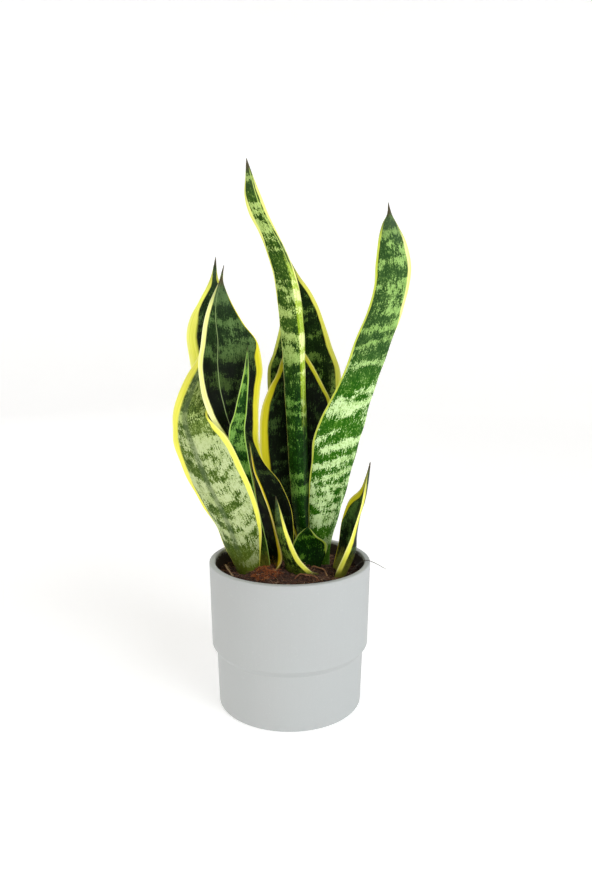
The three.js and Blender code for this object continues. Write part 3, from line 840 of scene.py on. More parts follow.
RIPPLE_LENGTHS = (58, 31)  # two waves run along each margin
CALM_BASE = (30, 70)  # lengths from the base over which the waves and grooves grow
CALM_TIP = (12, 60)  # and lengths from the tip
GROOVE_SPACING = 3.4  # shallow grooves run the length of a blade
GROOVE_DEPTH = 0.05
BACK_GROOVE = 0.6  # share of that depth on a blade's back
RIB_LEAST_WIDTH = 1.2  # a hollow narrower than this would fall between the lanes
RIB_END = (4, 25)  # lengths from the tip over which the hollow of a rib fades
STEPS_NEAR_TIP = 10  # fewest rings between the last station and the tip
BLADE_SLACK = 1.6  # most that waves and curves may carry a blade past the blade of the frame


def ring_params(leaf, spacing):
    """Where along a leaf its rings stand, as station numbers with fractions, about spacing apart."""
    middles = [(np.array(left, float) + right) / 2 for left, right, _, _ in leaf["stations"]]
    middles.append(np.array(leaf["tip"], float))
    params = []
    for index, (start, end) in enumerate(zip(middles, middles[1:])):
        steps = max(2, math.ceil(np.linalg.norm(end - start) / spacing))
        if index == len(middles) - 2:
            steps = max(steps, STEPS_NEAR_TIP)
        params.extend(index + k / steps for k in range(steps))
    return np.array(params)


def leaf_rings(leaf, params, lanes):
    """The blade's middle surface, its outward direction, half its thickness and the way across it from
    the left margin, each for every ring and lane, and then the lanes from -1 to 1."""
    stations = leaf["stations"]
    crest = leaf["crest"]
    left, left_heading = curve_points([row[0] for row in stations] + [leaf["tip"]], params)
    right, right_heading = curve_points([row[1] for row in stations] + [leaf["tip"]], params)
    shape, _ = curve_points([(row[2], row[3]) for row in stations] + [(0, 1)], params)
    half_width = np.linalg.norm(right - left, axis=1)[:, None] / 2
    along = unit(right - left)
    outward = unit(np.cross(along, unit(left_heading) + unit(right_heading)))
    lane = -np.cos(np.linspace(0, math.pi, lanes + 1))[None, :]
    bulge, thickness = shape[:, :1], shape[:, 1:]
    slope = -bulge * crest * np.sign(lane) * np.abs(lane) ** (crest - 1)
    line = unit(np.stack([np.broadcast_to(half_width, slope.shape), slope], axis=-1))
    sideways = lane * half_width
    forwards = bulge * (1 - np.abs(lane) ** crest)
    middle = ((left + right) / 2)[:, None]
    along, outward = along[:, None], outward[:, None]
    surface = middle + along * sideways[..., None] + outward * forwards[..., None]
    square = outward * line[..., :1] - along * line[..., 1:]
    across = np.concatenate([
        np.zeros((len(params), 1)),
        np.cumsum(np.linalg.norm(np.diff(surface, axis=1), axis=2), axis=1)], axis=1)
    return surface, square, thickness / 2 * np.sqrt(1 - lane * lane), across, lane


def rib_hollow(style, lane, run, to_tip, length, breadth):
    """How deep the hollow along a blade's rib is, for every ring and lane."""
    if not style["rib"]:
        return np.zeros(np.broadcast_shapes(lane.shape, run.shape))
    base_lane, tip_lane, width, depth = style["rib"][:4]
    rib_lane = base_lane + (tip_lane - base_lane) * run / length
    gap = (lane - rib_lane) * breadth / 2
    rib = np.exp(-(gap / max(width, RIB_LEAST_WIDTH)) ** 2) * smooth_step(to_tip, *RIB_END)
    return rib * depth


def around(front):
    """Values for every ring of points, in front and then back again, from those in front."""
    return np.concatenate([front, front[:, -2:0:-1]], axis=1)


def leaf_piece(name, leaf, style, settings, material):
    """One fine blade, with its measures as attributes for the material."""
    params = ring_params(leaf, settings.ring_spacing / MM)
    lanes = settings.lanes
    surface, square, half, across, lane = leaf_rings(leaf, params, lanes)
    tip = np.array(leaf["tip"], float)
    spine = surface[:, lanes // 2]
    steps = np.linalg.norm(np.diff(np.vstack([spine, tip[None]]), axis=0), axis=1)
    upwards = np.concatenate([[0], np.cumsum(steps)])
    length = upwards[-1]
    run, to_tip = upwards[:-1, None], (length - upwards[:-1])[:, None]
    to_left, to_right = across, across[:, -1:] - across
    middle_gap = across - across[:, lanes // 2:lanes // 2 + 1]

    free = smooth_step(run, *CALM_BASE) * smooth_step(to_tip, *CALM_TIP)
    wave = sum(
        np.sin(run * 2 * math.pi / wave_length + style["seed"] * (1.7 + k) + (lane > 0) * 2.1)
        for k, wave_length in enumerate(RIPPLE_LENGTHS)) / 2
    ripple = settings.ripple / MM * style["ripple"] * free * wave * np.abs(lane) ** 3
    lines = np.cos(middle_gap * 2 * math.pi / GROOVE_SPACING)
    groove = GROOVE_DEPTH * lines * (1 - lane ** 4) * free
    hollow = rib_hollow(style, lane, run, to_tip, length, across[:, -1:])
    front = surface + square * (ripple + half + groove - hollow)[..., None]
    back = surface + square * (ripple - half - groove * BACK_GROOVE)[..., None]
    margin = surface[:, [0, -1]] + square[:, [0, -1]] * ripple[:, [0, -1], None]
    front[:, [0, -1]] = margin
    points = np.concatenate([front, back[:, -2:0:-1]], axis=1)

    facing = np.ones_like(across)
    facing[:, [0, -1]] = 0
    side = np.concatenate([facing, -facing[:, -2:0:-1]], axis=1)  # 1 in front and -1 at the back
    measures = {
        "blade": (around(middle_gap), around(np.broadcast_to(run, across.shape)), side),
        "edges": (around(to_left), around(to_right), around(np.broadcast_to(to_tip, across.shape))),
        "lane": (around(np.broadcast_to(lane, across.shape)),) * 3,
    }
    base, ring = points[0].mean(axis=0), points.shape[1]
    low, high = (np.array(corner) / MM for corner in CAD_BOX)
    flat = np.clip(np.vstack([points.reshape(-1, 3), base, tip]), low, high)
    attributes = []
    for label, parts in measures.items():
        rows = np.stack(parts, axis=-1).reshape(-1, 3)
        ends = rows[lanes // 2], rows[(len(params) - 1) * ring + lanes // 2]
        attributes.append((label, np.vstack([rows, *ends])))
    faces = ring_faces(len(params), ring)
    piece = add_piece(f"{name}_blade", flat, faces, material, [name], attributes)
    check_inside(piece, name, BLADE_SLACK)


MARGIN_START = (116, 124)  # heights over which the margins begin, at the top of the mix
BASE_FULL = 116  # height below which a blade has the whole of its base tone
BASE_DARK = 122  # and below which its dark marks are at their largest
BASE_DARK_FADE = 15  # how far above the base tone those marks are back to their size
TIP_GREY = tone(70, 88, 62)


class BladeShader(Shader):
    """A blade's material, with the measures of its mesh and the noises that its marks share."""

    def __init__(self, name, style):
        super().__init__(name)
        self.style = style
        self.middle_gap, self.run, self.side = self.attribute("blade")
        self.to_left, self.to_right, self.to_tip = self.attribute("edges")
        self.lane = self.attribute("lane")[0]
        self.height = self.place()[2]
        self.breadth = self.to_left + self.to_right
        self.layer = self.side * 0.6 + style["seed"]
        self.streak = self.marks(1.5, 0.12, 0, 2, 0.6)
        self.hatch = self.marks(0.95, 0.22, 9, 3, 0.7)
        self.speck = self.marks(1.0, 0.5, 21, 2, 0.6)
        self.blotch = self.marks(0.16, 0.11, 47, 2, 0.5)
        self.grain = self.marks(1.4, 0.8, 71, 2, 0.6)

    def marks(self, across, along, shift, detail, roughness):
        """A noise on the blade, from its frequencies across and along it in waves a millimetre."""
        place = self.vector(self.middle_gap * across, self.run * along, self.layer + shift)
        return self.noise(place, detail, roughness)

    def tinted(self, colour, tint):
        return self.node(
            "ShaderNodeMix", {"data_type": "RGBA", "blend_type": "MULTIPLY"},
            {"Factor": 1.0, "A": colour, "B": tuple(tint)}, "Result")

    def paleness(self):
        """0 in the darkest marks and 1 in the palest: ragged cross-bands with flecks in them."""
        style = self.style
        sag = self.middle_gap * (self.middle_gap * style["arch"] + style["slant"])
        lengthwise = (self.run + sag + (self.hatch - 0.5) * 12) / style["band"]
        band = self.noise(self.vector(self.middle_gap * 0.03, lengthwise, self.layer + 33), 1.5, 0.45)
        jagged = (self.streak - 0.5) * 0.38 + (self.hatch - 0.5) * 0.42 + (self.grain - 0.5) * 0.5
        broken = (band - 0.5) * 1.35 + 0.5 + jagged + (self.blotch - 0.5) * 0.45
        low_down = self.step(self.height, style["base_top"] + BASE_DARK_FADE, BASE_DARK)
        pale = self.step(broken - (low_down * 0.16 + style["threshold"]), -0.045, 0.045)
        dark_flecks = self.step(self.speck, 0.42, 0.36) * 0.42
        pale_flecks = self.step(self.speck, 0.56, 0.64) * 0.5
        marked = pale * (1 - dark_flecks) + (1 - pale) * pale_flecks
        fine = (self.streak - 0.5) * 0.7 + (self.grain - 0.5) + (self.blotch - 0.5) * 0.8
        return marked * 0.74 + 0.15 + fine

    def field(self, tint):
        """The green between the margins, with what else the blade has on it, down to its base."""
        style = self.style
        paleness = self.paleness()
        turned = self.step(self.height + (self.blotch - 0.5) * 30, *style["turn"])
        field = self.mix(turned, self.ramp(paleness, style["low"]), self.ramp(paleness, style["high"]))
        # Painted light: right of the keel the field takes paler lit tones
        if style["bright_half"]:
            tones, comes, goes = style["bright_half"]
            ragged = self.height + (self.hatch - 0.5) * 90
            bright = self.step(self.lane, -0.02, 0.10) * self.step(ragged, *comes)
            bright = bright * self.step(ragged, *goes)
            field = self.mix(bright, field, self.ramp(paleness + 0.1, tones))
        if style["pale_inside"]:
            colour, width, goes = style["pale_inside"]
            strip = self.step(self.to_right + (self.hatch - 0.5) * 12, width + 7, width + 3)
            strip = strip * self.step(self.height, *goes) * self.step(self.speck, 0.38, 0.55)
            field = self.mix(strip * 0.8, field, colour)
        if style["rib"]:
            field = self.ribbed(field)
        ragged = self.height + (self.hatch - 0.5) * 40 + (self.speck - 0.5) * 20
        buried = self.step(ragged, style["base_top"], BASE_FULL)
        return self.mix(buried * 0.8, self.tinted(field, tint), style["base"])

    def ribbed(self, field):
        """A field with the line of the rib on the front of the blade, pale on some blades and painted shade
        in the crease on the front left one.
        """
        base_lane, tip_lane, width, _, colour, strength, lowest = self.style["rib"]
        rib_lane = self.run / (self.run + self.to_tip) * (tip_lane - base_lane) + base_lane
        off = self.maths("ABSOLUTE", (self.lane - rib_lane) * self.breadth * 0.5) / width
        front = self.step(self.side, -0.2, 0.4)
        rib = self.step(off, 1.6, 0.5) * front * self.step(self.height, lowest, lowest + 25)
        return self.mix(rib * strength, field, colour)

    def width_at(self, widths):
        """A margin's width, from pairs of a height and the width there."""
        total = widths[0][1]
        for (low, before), (high, after) in zip(widths, widths[1:]):
            total = self.step(self.height, low, high) * (after - before) + total
        return total

    def yellow(self, gap, inward, colour, tint):
        """Yellow with faint lengthwise lines, with a painted highlight that makes it paler at the very edge.
        """
        deeper = tuple(c * k for c, k in zip(colour[:3], (0.88, 0.90, 0.55))) + (1,)
        edge_highlight = tuple(c + (1 - c) * 0.3 for c in colour[:3]) + (1,)
        lines = self.noise(self.vector(gap * 1.2, self.run * 0.03, self.layer + 60), 2)
        lined = self.mix(self.step(lines, 0.35, 0.62), deeper, colour)
        return self.tinted(self.mix(self.step(inward, 0.4, 0.0) * 0.6, lined, edge_highlight), tint)

    def margins(self, field, tint):
        """A field with both margins over it, of an uneven width."""
        style = self.style
        uneven = self.noise(self.vector(self.run * 0.07, self.layer, self.side), 2)
        wobble = (uneven - 0.5) * 1.5 + (self.streak - 0.5) * 0.7
        for gap, key in ((self.to_left, "left"), (self.to_right, "right")):
            colour, widths = style[key]
            width = self.maths("MINIMUM", self.width_at(widths), self.breadth * style["share"])
            width = width * self.step(self.to_tip, style["spine"] * 0.4, style["spine"] + 16)
            inward = (gap + wobble * self.step(gap, 0, 1.5)) / (width + 0.02)
            edge = self.step(inward, 1.15, 0.88) * self.step(self.height, *MARGIN_START)
            field = self.mix(edge, field, self.yellow(gap, inward, colour, tint))
        return field

    def greyed(self, colour):
        """A colour that goes grey towards the dry end."""
        spine = self.style["spine"]
        near = self.step(self.to_tip + (self.streak - 0.5) * 10, spine + 26, spine)
        grey = near * self.style["greying"] * self.step(self.breadth, 0.5, 4)
        return self.mix(grey, colour, TIP_GREY)

    def dry_end(self):
        """1 on the dry spine and 0 below it."""
        spine = self.style["spine"]
        return self.step(self.to_tip + (self.streak - 0.5) * 5, spine + 2, spine - 4)


def leaf_material(name, style, settings):
    s = BladeShader(name, style)
    green = s.field(settings.field_tint)
    coloured = s.greyed(s.margins(green, settings.margin_tint))
    dry = s.dry_end()
    s.set(
        Base_Color=s.mix(dry, coloured, tuple(settings.spine_brown)),
        Roughness=0.42 + s.streak * 0.16 + dry * 0.25,
        Coat_Weight=0.04,
        Coat_Roughness=0.3,
        Specular_IOR_Level=0.07,
        Normal=s.bump(s.streak * 0.7 + s.speck * 0.3, 0.30, 0.10 * MM),
    )
    return s.material


class SNAKE_OT_leaves(bpy.types.Operator):
    """Build the twelve variegated blades on their stations"""
    bl_idname = "snake_plant.leaves"
    bl_label = "Leaves"

    def execute(self, context):
        settings = context.scene.snake_leaves
        for name, leaf in LEAVES.items():
            material = leaf_material(f"{name}_surface", LOOKS[name], settings)
            leaf_piece(name, leaf, LOOKS[name], settings, material)
        return {"FINISHED"}


# ------------------------------------------------------------------ potting mix

MIX_TOP_FROM = 103  # the worked surface begins above this height
MIX_TOP_FULL = 6  # and has its full lumps this much higher
MIX_LUMPS = ((9.0, 1.5), (3.4, 0.9))  # size and height of its lumps
FIBRE_MOUND = (-21, -15, 10.5, 4.5)  # x, y, radius and rise of a fibrous mound at the front
LEVEL_ENOUGH = 0.35  # litter lies where the surface's normal rises at least this much
CRUMB_SMALLEST = 0.28  # share of the largest crumb
CRUMB_WEAR = 0.9  # how far its surface is worn, as a share of its radius
FIBRE_SHORTEST = 0.3  # share of the longest loose fibre
FIBRE_RADIUS = 0.16
TUFT_FIBRES = (3, 7)  # shortest and longest fibre of the tuft on the mound
TUFT_REACH = 12  # how far the tuft spreads from the middle of the mound
TUFT_DENSITY = 900000  # fibres on a square metre


def mix_material():
    s = Shader("potting_mix_surface")
    x, y, z = s.place()
    broad = s.noise(s.vector(x * 0.08, y * 0.08, z * 0.08), 2)
    fine = s.noise(s.vector(x * 0.9, y * 0.9, z * 0.9), 4, 0.7)
    dust = s.noise(s.vector(x * 0.35 + 9, y * 0.35, z * 0.35), 3, 0.6)
    brown = s.ramp(fine, [tone(14, 8, 5), tone(40, 24, 15), tone(66, 40, 26), tone(96, 66, 44)])
    red = s.mix(s.step(broad, 0.45, 0.6) * 0.55, brown, tone(84, 40, 24))
    s.set(
        Base_Color=s.mix(s.step(dust, 0.55, 0.7) * 0.35, red, tone(20, 13, 10)),
        Roughness=0.82 + fine * 0.14,
        Normal=s.bump(fine, 0.8, 0.5 * MM),
    )
    return s.material


def fibre_material(name, dark, middle, light):
    s = Shader(name)
    x, y, z = s.place()
    each = s.noise(s.vector(x * 0.28, y * 0.28, z * 0.5), 2)
    fine = s.noise(s.vector(x * 1.6, y * 1.6, z * 1.6), 2)
    s.set(
        Base_Color=s.ramp(each * 0.75 + fine * 0.25, [dark, dark, middle, light, light]),
        Roughness=0.62 + fine * 0.2,
        Normal=s.bump(fine, 0.4, 0.05 * MM),
    )
    return s.material


def mix_mesh(grain):
    """The mix of the frame with its sockets, meshed finely, and a lumpy top."""
    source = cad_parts["potting_mix"]
    worker = bpy.data.objects.new("mix_worker", source.data.copy())
    bpy.context.scene.collection.objects.link(worker)
    remesh = worker.modifiers.new("fine", "REMESH")
    remesh.mode = "VOXEL"
    remesh.voxel_size = grain
    seen = worker.evaluated_get(bpy.context.evaluated_depsgraph_get())
    mesh = bpy.data.meshes.new_from_object(seen)
    bpy.data.objects.remove(worker)
    mound_x, mound_y, mound_radius, mound_rise = FIBRE_MOUND
    for vertex in mesh.vertices:
        place = vertex.co / MM
        share = min(max((place.z - MIX_TOP_FROM) / MIX_TOP_FULL, 0), 1)
        if share == 0:
            continue
        rise = sum(
            noise.noise(place / size + Vector((size, 0, 0))) * height
            for size, height in MIX_LUMPS)
        away = math.hypot(place.x - mound_x, place.y - mound_y) / mound_radius
        rise += mound_rise * math.exp(-away * away)
        vertex.co.z += share * rise * MM
    return mesh


class GrowthTree(Tree):
    """A Geometry Nodes tree that takes a mesh and named inputs, and hands back one material's mesh."""

    def __init__(self, name, sizes):
        tree = bpy.data.node_groups.new(name, "GeometryNodeTree")
        super().__init__(tree)
        tree.interface.new_socket("Geometry", in_out="OUTPUT", socket_type="NodeSocketGeometry")
        tree.interface.new_socket("Geometry", in_out="INPUT", socket_type="NodeSocketGeometry")
        for label, kind in sizes:
            tree.interface.new_socket(label, in_out="INPUT", socket_type=kind)
        self.group_input = tree.nodes.new("NodeGroupInput")

    def given(self, label):
        return Wire(self, self.group_input.outputs[label])

    def worn(self, geometry, scale, strength):
        """Moves every point by a smooth noise, so that no two copies stay alike."""
        noisy = self.node("ShaderNodeTexNoise", inputs={"Scale": scale, "Detail": 1.0}, output="Color")
        centred = self.node(
            "ShaderNodeVectorMath", {"operation": "SUBTRACT"}, {0: noisy, 1: (0.5, 0.5, 0.5)},
            "Vector")
        offset = self.node(
            "ShaderNodeVectorMath", {"operation": "SCALE"}, {0: centred, "Scale": strength}, "Vector")
        return self.node("GeometryNodeSetPosition", inputs={"Geometry": geometry, "Offset": offset})

    def finish(self, geometry):
        painted = self.node(
            "GeometryNodeSetMaterial",
            inputs={"Geometry": geometry, "Material": self.given("Material")})
        self.node("NodeGroupOutput", inputs={"Geometry": painted})
        return self.tree


class Scatter(GrowthTree):
    """A tree that strews shapes over the top of the mix."""

    def top_points(self):
        """Points on the upward faces of the mix that lie within reach of the centre."""
        position = self.node("GeometryNodeInputPosition")
        normal = self.node("GeometryNodeInputNormal")
        upward = self.maths("GREATER_THAN", self.split(normal)[2], LEVEL_ENOUGH)
        high = self.maths("GREATER_THAN", self.split(position)[2], MIX_TOP_FROM * MM)
        away = self.node(
            "ShaderNodeVectorMath", {"operation": "DISTANCE"},
            {0: position, 1: self.given("Centre")}, "Value")
        near = self.maths("LESS_THAN", away, self.given("Reach"))
        return self.node(
            "GeometryNodeDistributePointsOnFaces", {"distribute_method": "RANDOM"},
            {"Mesh": self.given("Geometry"), "Selection": upward * high * near,
             "Density": self.given("Density"), "Seed": self.given("Seed")}, "Points")

    def random(self, kind, low, high, seed):
        return self.node(
            "FunctionNodeRandomValue", {"data_type": kind},
            {"Min": low, "Max": high, "Seed": seed}, "Value")

    def strew(self, shape, low_turn, high_turn, smallest, largest, stretch):
        """Turned, sized and stretched copies of a shape, made into plain geometry."""
        turn = self.random("FLOAT_VECTOR", low_turn, high_turn, 3)
        size = self.random("FLOAT", smallest, largest, 5)
        form = self.random("FLOAT_VECTOR", stretch[0], stretch[1], 8)
        scale = self.node(
            "ShaderNodeVectorMath", {"operation": "SCALE"}, {0: form, "Scale": size}, "Vector")
        strewn = self.node(
            "GeometryNodeInstanceOnPoints",
            inputs={"Points": self.top_points(), "Instance": shape, "Rotation": turn, "Scale": scale},
            output="Instances")
        return self.node("GeometryNodeRealizeInstances", inputs={"Geometry": strewn})


SCATTER_INPUTS = [
    ("Density", "NodeSocketFloat"),
    ("Seed", "NodeSocketInt"),
    ("Centre", "NodeSocketVector"),
    ("Reach", "NodeSocketFloat"),
    ("Smallest", "NodeSocketFloat"),
    ("Largest", "NodeSocketFloat"),
    ("Material", "NodeSocketMaterial"),
]


def crumb_tree():
    tree = Scatter("scattered_crumbs", SCATTER_INPUTS + [("Wear", "NodeSocketFloat")])
    ball = tree.node(
        "GeometryNodeMeshUVSphere", inputs={"Segments": 7, "Rings": 5, "Radius": 1.0}, output="Mesh")
    turned = (math.tau,) * 3
    strewn = tree.strew(
        ball, (0, 0, 0), turned, tree.given("Smallest"), tree.given("Largest"),
        ((0.55, 0.55, 0.35), (1, 1, 0.8)))
    return tree.finish(tree.worn(strewn, 600.0, tree.given("Wear")))


def fibre_tree():
    """Loose fibres: thin closed tubes on an arc that rises a little from the mix."""
    tree = Scatter("scattered_fibres", SCATTER_INPUTS + [("Radius", "NodeSocketFloat")])
    arc = tree.node(
        "GeometryNodeCurveQuadraticBezier",
        inputs={"Resolution": 6, "Start": (-0.5, 0, -0.06), "Middle": (0.05, 0.35, 0.32),
                "End": (0.5, -0.1, 0.05)}, output="Curve")
    size = (tree.given("Smallest") + tree.given("Largest")) * 0.5
    profile = tree.node(
        "GeometryNodeCurvePrimitiveCircle",
        inputs={"Resolution": 4, "Radius": tree.given("Radius") / size}, output="Curve")
    tube = tree.node(
        "GeometryNodeCurveToMesh",
        inputs={"Curve": arc, "Profile Curve": profile, "Fill Caps": True}, output="Mesh")
    strewn = tree.strew(
        tube, (-0.35, -0.35, 0), (0.35, 0.35, math.tau), tree.given("Smallest"),
        tree.given("Largest"), ((1, 0.3, 0.4), (1, 1, 1)))
    return tree.finish(tree.worn(strewn, 130.0, 4 * MM))


def grown(name, mesh, tree, values):
    """The plain mesh that a Geometry Nodes tree makes from a mesh. Values are by input name."""
    worker = bpy.data.objects.new(f"{name}_worker", mesh)
    bpy.context.scene.collection.objects.link(worker)
    modifier = worker.modifiers.new("grow", "NODES")
    modifier.node_group = tree
    for item in tree.interface.items_tree:
        if item.in_out == "INPUT" and item.name in values:
            modifier[item.identifier] = values[item.name]
    seen = worker.evaluated_get(bpy.context.evaluated_depsgraph_get())
    made = bpy.data.meshes.new_from_object(seen)
    worker.modifiers.remove(modifier)
    bpy.data.objects.remove(worker)
    made.name = name
    if not made.polygons:
        raise RuntimeError(f"{name} came out empty")
    return made


def strew_litter(name, tree, material, values):
    """Makes one kind of litter a piece of its own on the finished mix."""
    surface = bpy.data.objects["mix_surface"].data
    mesh = grown(name, surface, tree, {**values, "Material": material})
    finish_piece(name, mesh, material)


class SNAKE_OT_mix(bpy.types.Operator):
    """Fill the pot with lumpy potting mix, with its sockets for the blades"""
    bl_idname = "snake_plant.mix"
    bl_label = "Potting mix"

    def execute(self, context):
        settings = context.scene.snake_mix
        mesh = mix_mesh(settings.grain)
        finish_piece("mix_surface", mesh, mix_material(), ["potting_mix"])
        return {"FINISHED"}


class SNAKE_OT_litter(bpy.types.Operator):
    """Strew crumbs and fibres over the potting mix"""
    bl_idname = "snake_plant.litter"
    bl_label = "Crumbs and fibres"

    def execute(self, context):
        settings = context.scene.snake_mix
        everywhere = {"Centre": (0.0, 0.0, 0.0), "Reach": 1.0}
        crumb = fibre_material("crumb_surface", tone(24, 14, 9), tone(62, 36, 23), tone(104, 66, 42))
        strew_litter("mix_crumbs", crumb_tree(), crumb, {
            **everywhere, "Density": settings.crumb_density, "Seed": settings.seed,
            "Smallest": settings.crumb_size * CRUMB_SMALLEST, "Largest": settings.crumb_size,
            "Wear": settings.crumb_size * CRUMB_WEAR})
        fibres = fibre_tree()
        loose = fibre_material(
            "loose_fibre", tone(58, 30, 18), tone(126, 80, 50), tone(220, 190, 154))
        strew_litter("mix_fibres", fibres, loose, {
            **everywhere, "Density": settings.fibre_density, "Seed": settings.seed + 1,
            "Smallest": settings.fibre_length * FIBRE_SHORTEST, "Largest": settings.fibre_length,
            "Radius": FIBRE_RADIUS * MM})
        tuft = fibre_material(
            "tuft_fibre", tone(92, 36, 16), tone(160, 82, 34), tone(206, 140, 62))
        mound_x, mound_y, _, _ = FIBRE_MOUND
        shortest, longest = TUFT_FIBRES
        strew_litter("fibre_tuft", fibres, tuft, {
            "Centre": (mound_x * MM, mound_y * MM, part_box("potting_mix")[1].z),
            "Reach": TUFT_REACH * MM, "Density": TUFT_DENSITY, "Seed": settings.seed + 2,
            "Smallest": shortest * MM, "Largest": longest * MM,
            "Radius": FIBRE_RADIUS * MM})
        return {"FINISHED"}


# ------------------------------------------------------------------ roots

# Loose roots on the mix, in millimetres: points along the middle, thickness at the start and the end,
# and how far the root wanders from side to side. The roots of the frame run along the same points.
ROOTS = {
    "root_left": ([(-52, 10, 112), (-57, 5, 119), (-55, -2, 119), (-52, -9, 118), (-46, -16, 112)],
                  1.7, 1.1, 0.5),
    "root_right": ([(18, 3, 112), (20, 1, 119), (25, -2, 119), (30, -6, 118), (34, -12, 112)],
                   1.5, 0.9, 0.6),
    "root_over_rim": ([(50, -6, 112), (57, -8, 122), (64, -11, 128.3), (71, -14, 127.9), (82, -18, 123)],
                      0.9, 0.35, 0.3),
    "root_front": ([(2, -22, 112), (8, -20, 119), (15, -21, 119), (22, -24, 118), (28, -28, 112)],
                   1.3, 0.8, 0.5),
}
ROOT_TONES = {
    "root_left": (tone(112, 84, 54), tone(168, 138, 100), tone(214, 190, 152)),
    "root_right": (tone(92, 56, 36), tone(150, 104, 66), tone(198, 160, 112)),
    "root_over_rim": (tone(40, 36, 30), tone(74, 68, 60), tone(120, 112, 100)),
    "root_front": (tone(84, 48, 30), tone(138, 90, 56), tone(180, 138, 96)),
}
ROOT_RINGS = 56
WANDER_GAIN = 3  # the noise that a root follows seldom comes near its ends
BARK_WEAR = 0.25


def root_tree():
    """A closed tube along a line, thinner towards its end, with a slight wander."""
    tree = GrowthTree("root_along_line", [
        ("Start thickness", "NodeSocketFloat"),
        ("End thickness", "NodeSocketFloat"),
        ("Wander", "NodeSocketFloat"),
        ("Material", "NodeSocketMaterial"),
    ])
    line = tree.node("GeometryNodeMeshToCurve", inputs={"Mesh": tree.given("Geometry")})
    along = tree.node("GeometryNodeSplineParameter", output="Factor")
    ends = tree.step(along, 0.0, 0.08) * tree.step(along, 1.0, 0.92)
    wandering = tree.worn(line, 140.0, tree.given("Wander") * ends)
    start, end = tree.given("Start thickness"), tree.given("End thickness")
    radius = (start + (end - start) * along) * 0.5
    profile = tree.node(
        "GeometryNodeCurvePrimitiveCircle", inputs={"Resolution": 10, "Radius": 1.0}, output="Curve")
    sizes = {"Curve": wandering, "Profile Curve": profile, "Scale": radius, "Fill Caps": True}
    tube = tree.node("GeometryNodeCurveToMesh", inputs=sizes, output="Mesh")
    return tree.finish(tree.worn(tube, 900.0, BARK_WEAR * MM))


class SNAKE_OT_roots(bpy.types.Operator):
    """Lay the four loose roots on the mix"""
    bl_idname = "snake_plant.roots"
    bl_label = "Loose roots"

    def execute(self, context):
        tree = root_tree()
        for name, (points, start, end, wander) in ROOTS.items():
            params = np.linspace(0, len(points) - 1, ROOT_RINGS)
            line = bpy.data.meshes.new(f"{name}_line")
            places = (curve_points(points, params)[0] * MM).tolist()
            line.from_pydata(places, [(i, i + 1) for i in range(ROOT_RINGS - 1)], [])
            material = fibre_material(f"{name}_bark", *ROOT_TONES[name])
            mesh = grown(f"{name}_strand", line, tree, {
                "Start thickness": start * MM, "End thickness": end * MM,
                "Wander": wander * MM * WANDER_GAIN, "Material": material})
            finish_piece(f"{name}_strand", mesh, material, [name])
        return {"FINISHED"}


# ------------------------------------------------------------------ rootstock

def rootstock_material():
    s = Shader("rootstock_skin")
    x, y, z = s.place()
    rings = s.noise(s.vector(x * 0.5, y * 0.5, z * 0.12), 3, 0.6)
    scars = s.noise(s.vector(x * 0.12, y * 0.12, z * 0.9), 2)
    colour = s.ramp(rings, [tone(112, 72, 30), tone(176, 128, 56), tone(206, 166, 84)])
    s.set(
        Base_Color=s.mix(s.step(scars, 0.55, 0.62) * 0.6, colour, tone(92, 56, 28)),
        Roughness=0.6 + rings * 0.2,
        Normal=s.bump(scars * 0.7 + rings * 0.3, 0.5, 0.4 * MM),
    )
    return s.material


class SNAKE_OT_rootstock(bpy.types.Operator):
    """Give the buried rootstock its skin"""
    bl_idname = "snake_plant.rootstock"
    bl_label = "Rootstock"

    def execute(self, context):
        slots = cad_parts["rootstock"].material_slots
        skin = rootstock_material()
        for material_slot in slots:
            material_slot.material = skin
        return {"FINISHED"}


# ------------------------------------------------------------------ stage

FLOOR_RADIUS = 2.4
CORNER_RADIUS = 0.9
WALL_HEIGHT = 2.6
FLOOR_CENTRE = 0.02  # radius of the one round face in the middle of the floor
STAGE_SEGMENTS = 96
STAGE_CORNER_STEPS = 12
STAGE_GLOW = 0.33  # the white wall is lit a little by itself, as a lightbox is
SKY_COLOUR = (1, 0.96, 0.90, 1)
SENSOR_WIDTH = 36  # of the camera, in millimetres

# Place, diameter and colour of each lamp, and the setting that holds its power
LAMPS = {
    "key_light": ((1.25, -1.35, 1.35), 1.3, (0.92, 0.97, 1), "key_power"),
    "back_light": ((-1.1, 1.3, 1.2), 1.3, (1, 1, 1), "back_power"),
    "fill_light": ((-1.5, -1.1, 0.9), 1.4, (1, 0.88, 0.70), "fill_power"),
}


def stage_material(white):
    s = Shader("stage_white")
    x, y, z = s.place()
    grain = s.noise(s.vector(x * 0.02, y * 0.02, z * 0.02), 2)
    s.set(
        Base_Color=s.mix(grain * 0.06, tuple(white), tone(232, 233, 234)),
        Roughness=0.9,
        Emission_Color=tuple(white),
        Emission_Strength=STAGE_GLOW,
    )
    return s.material


def area_light(name, place, target, size, power, colour):
    light = bpy.data.lights.new(name, "AREA")
    light.shape = "DISK"
    light.size = size
    light.energy = power
    light.color = colour
    lamp = bpy.data.objects.new(name, light)
    bpy.context.scene.collection.objects.link(lamp)
    lamp.location = place
    lamp.rotation_euler = (Vector(target) - Vector(place)).to_track_quat("-Z", "Y").to_euler()
    lamp.visible_camera = False


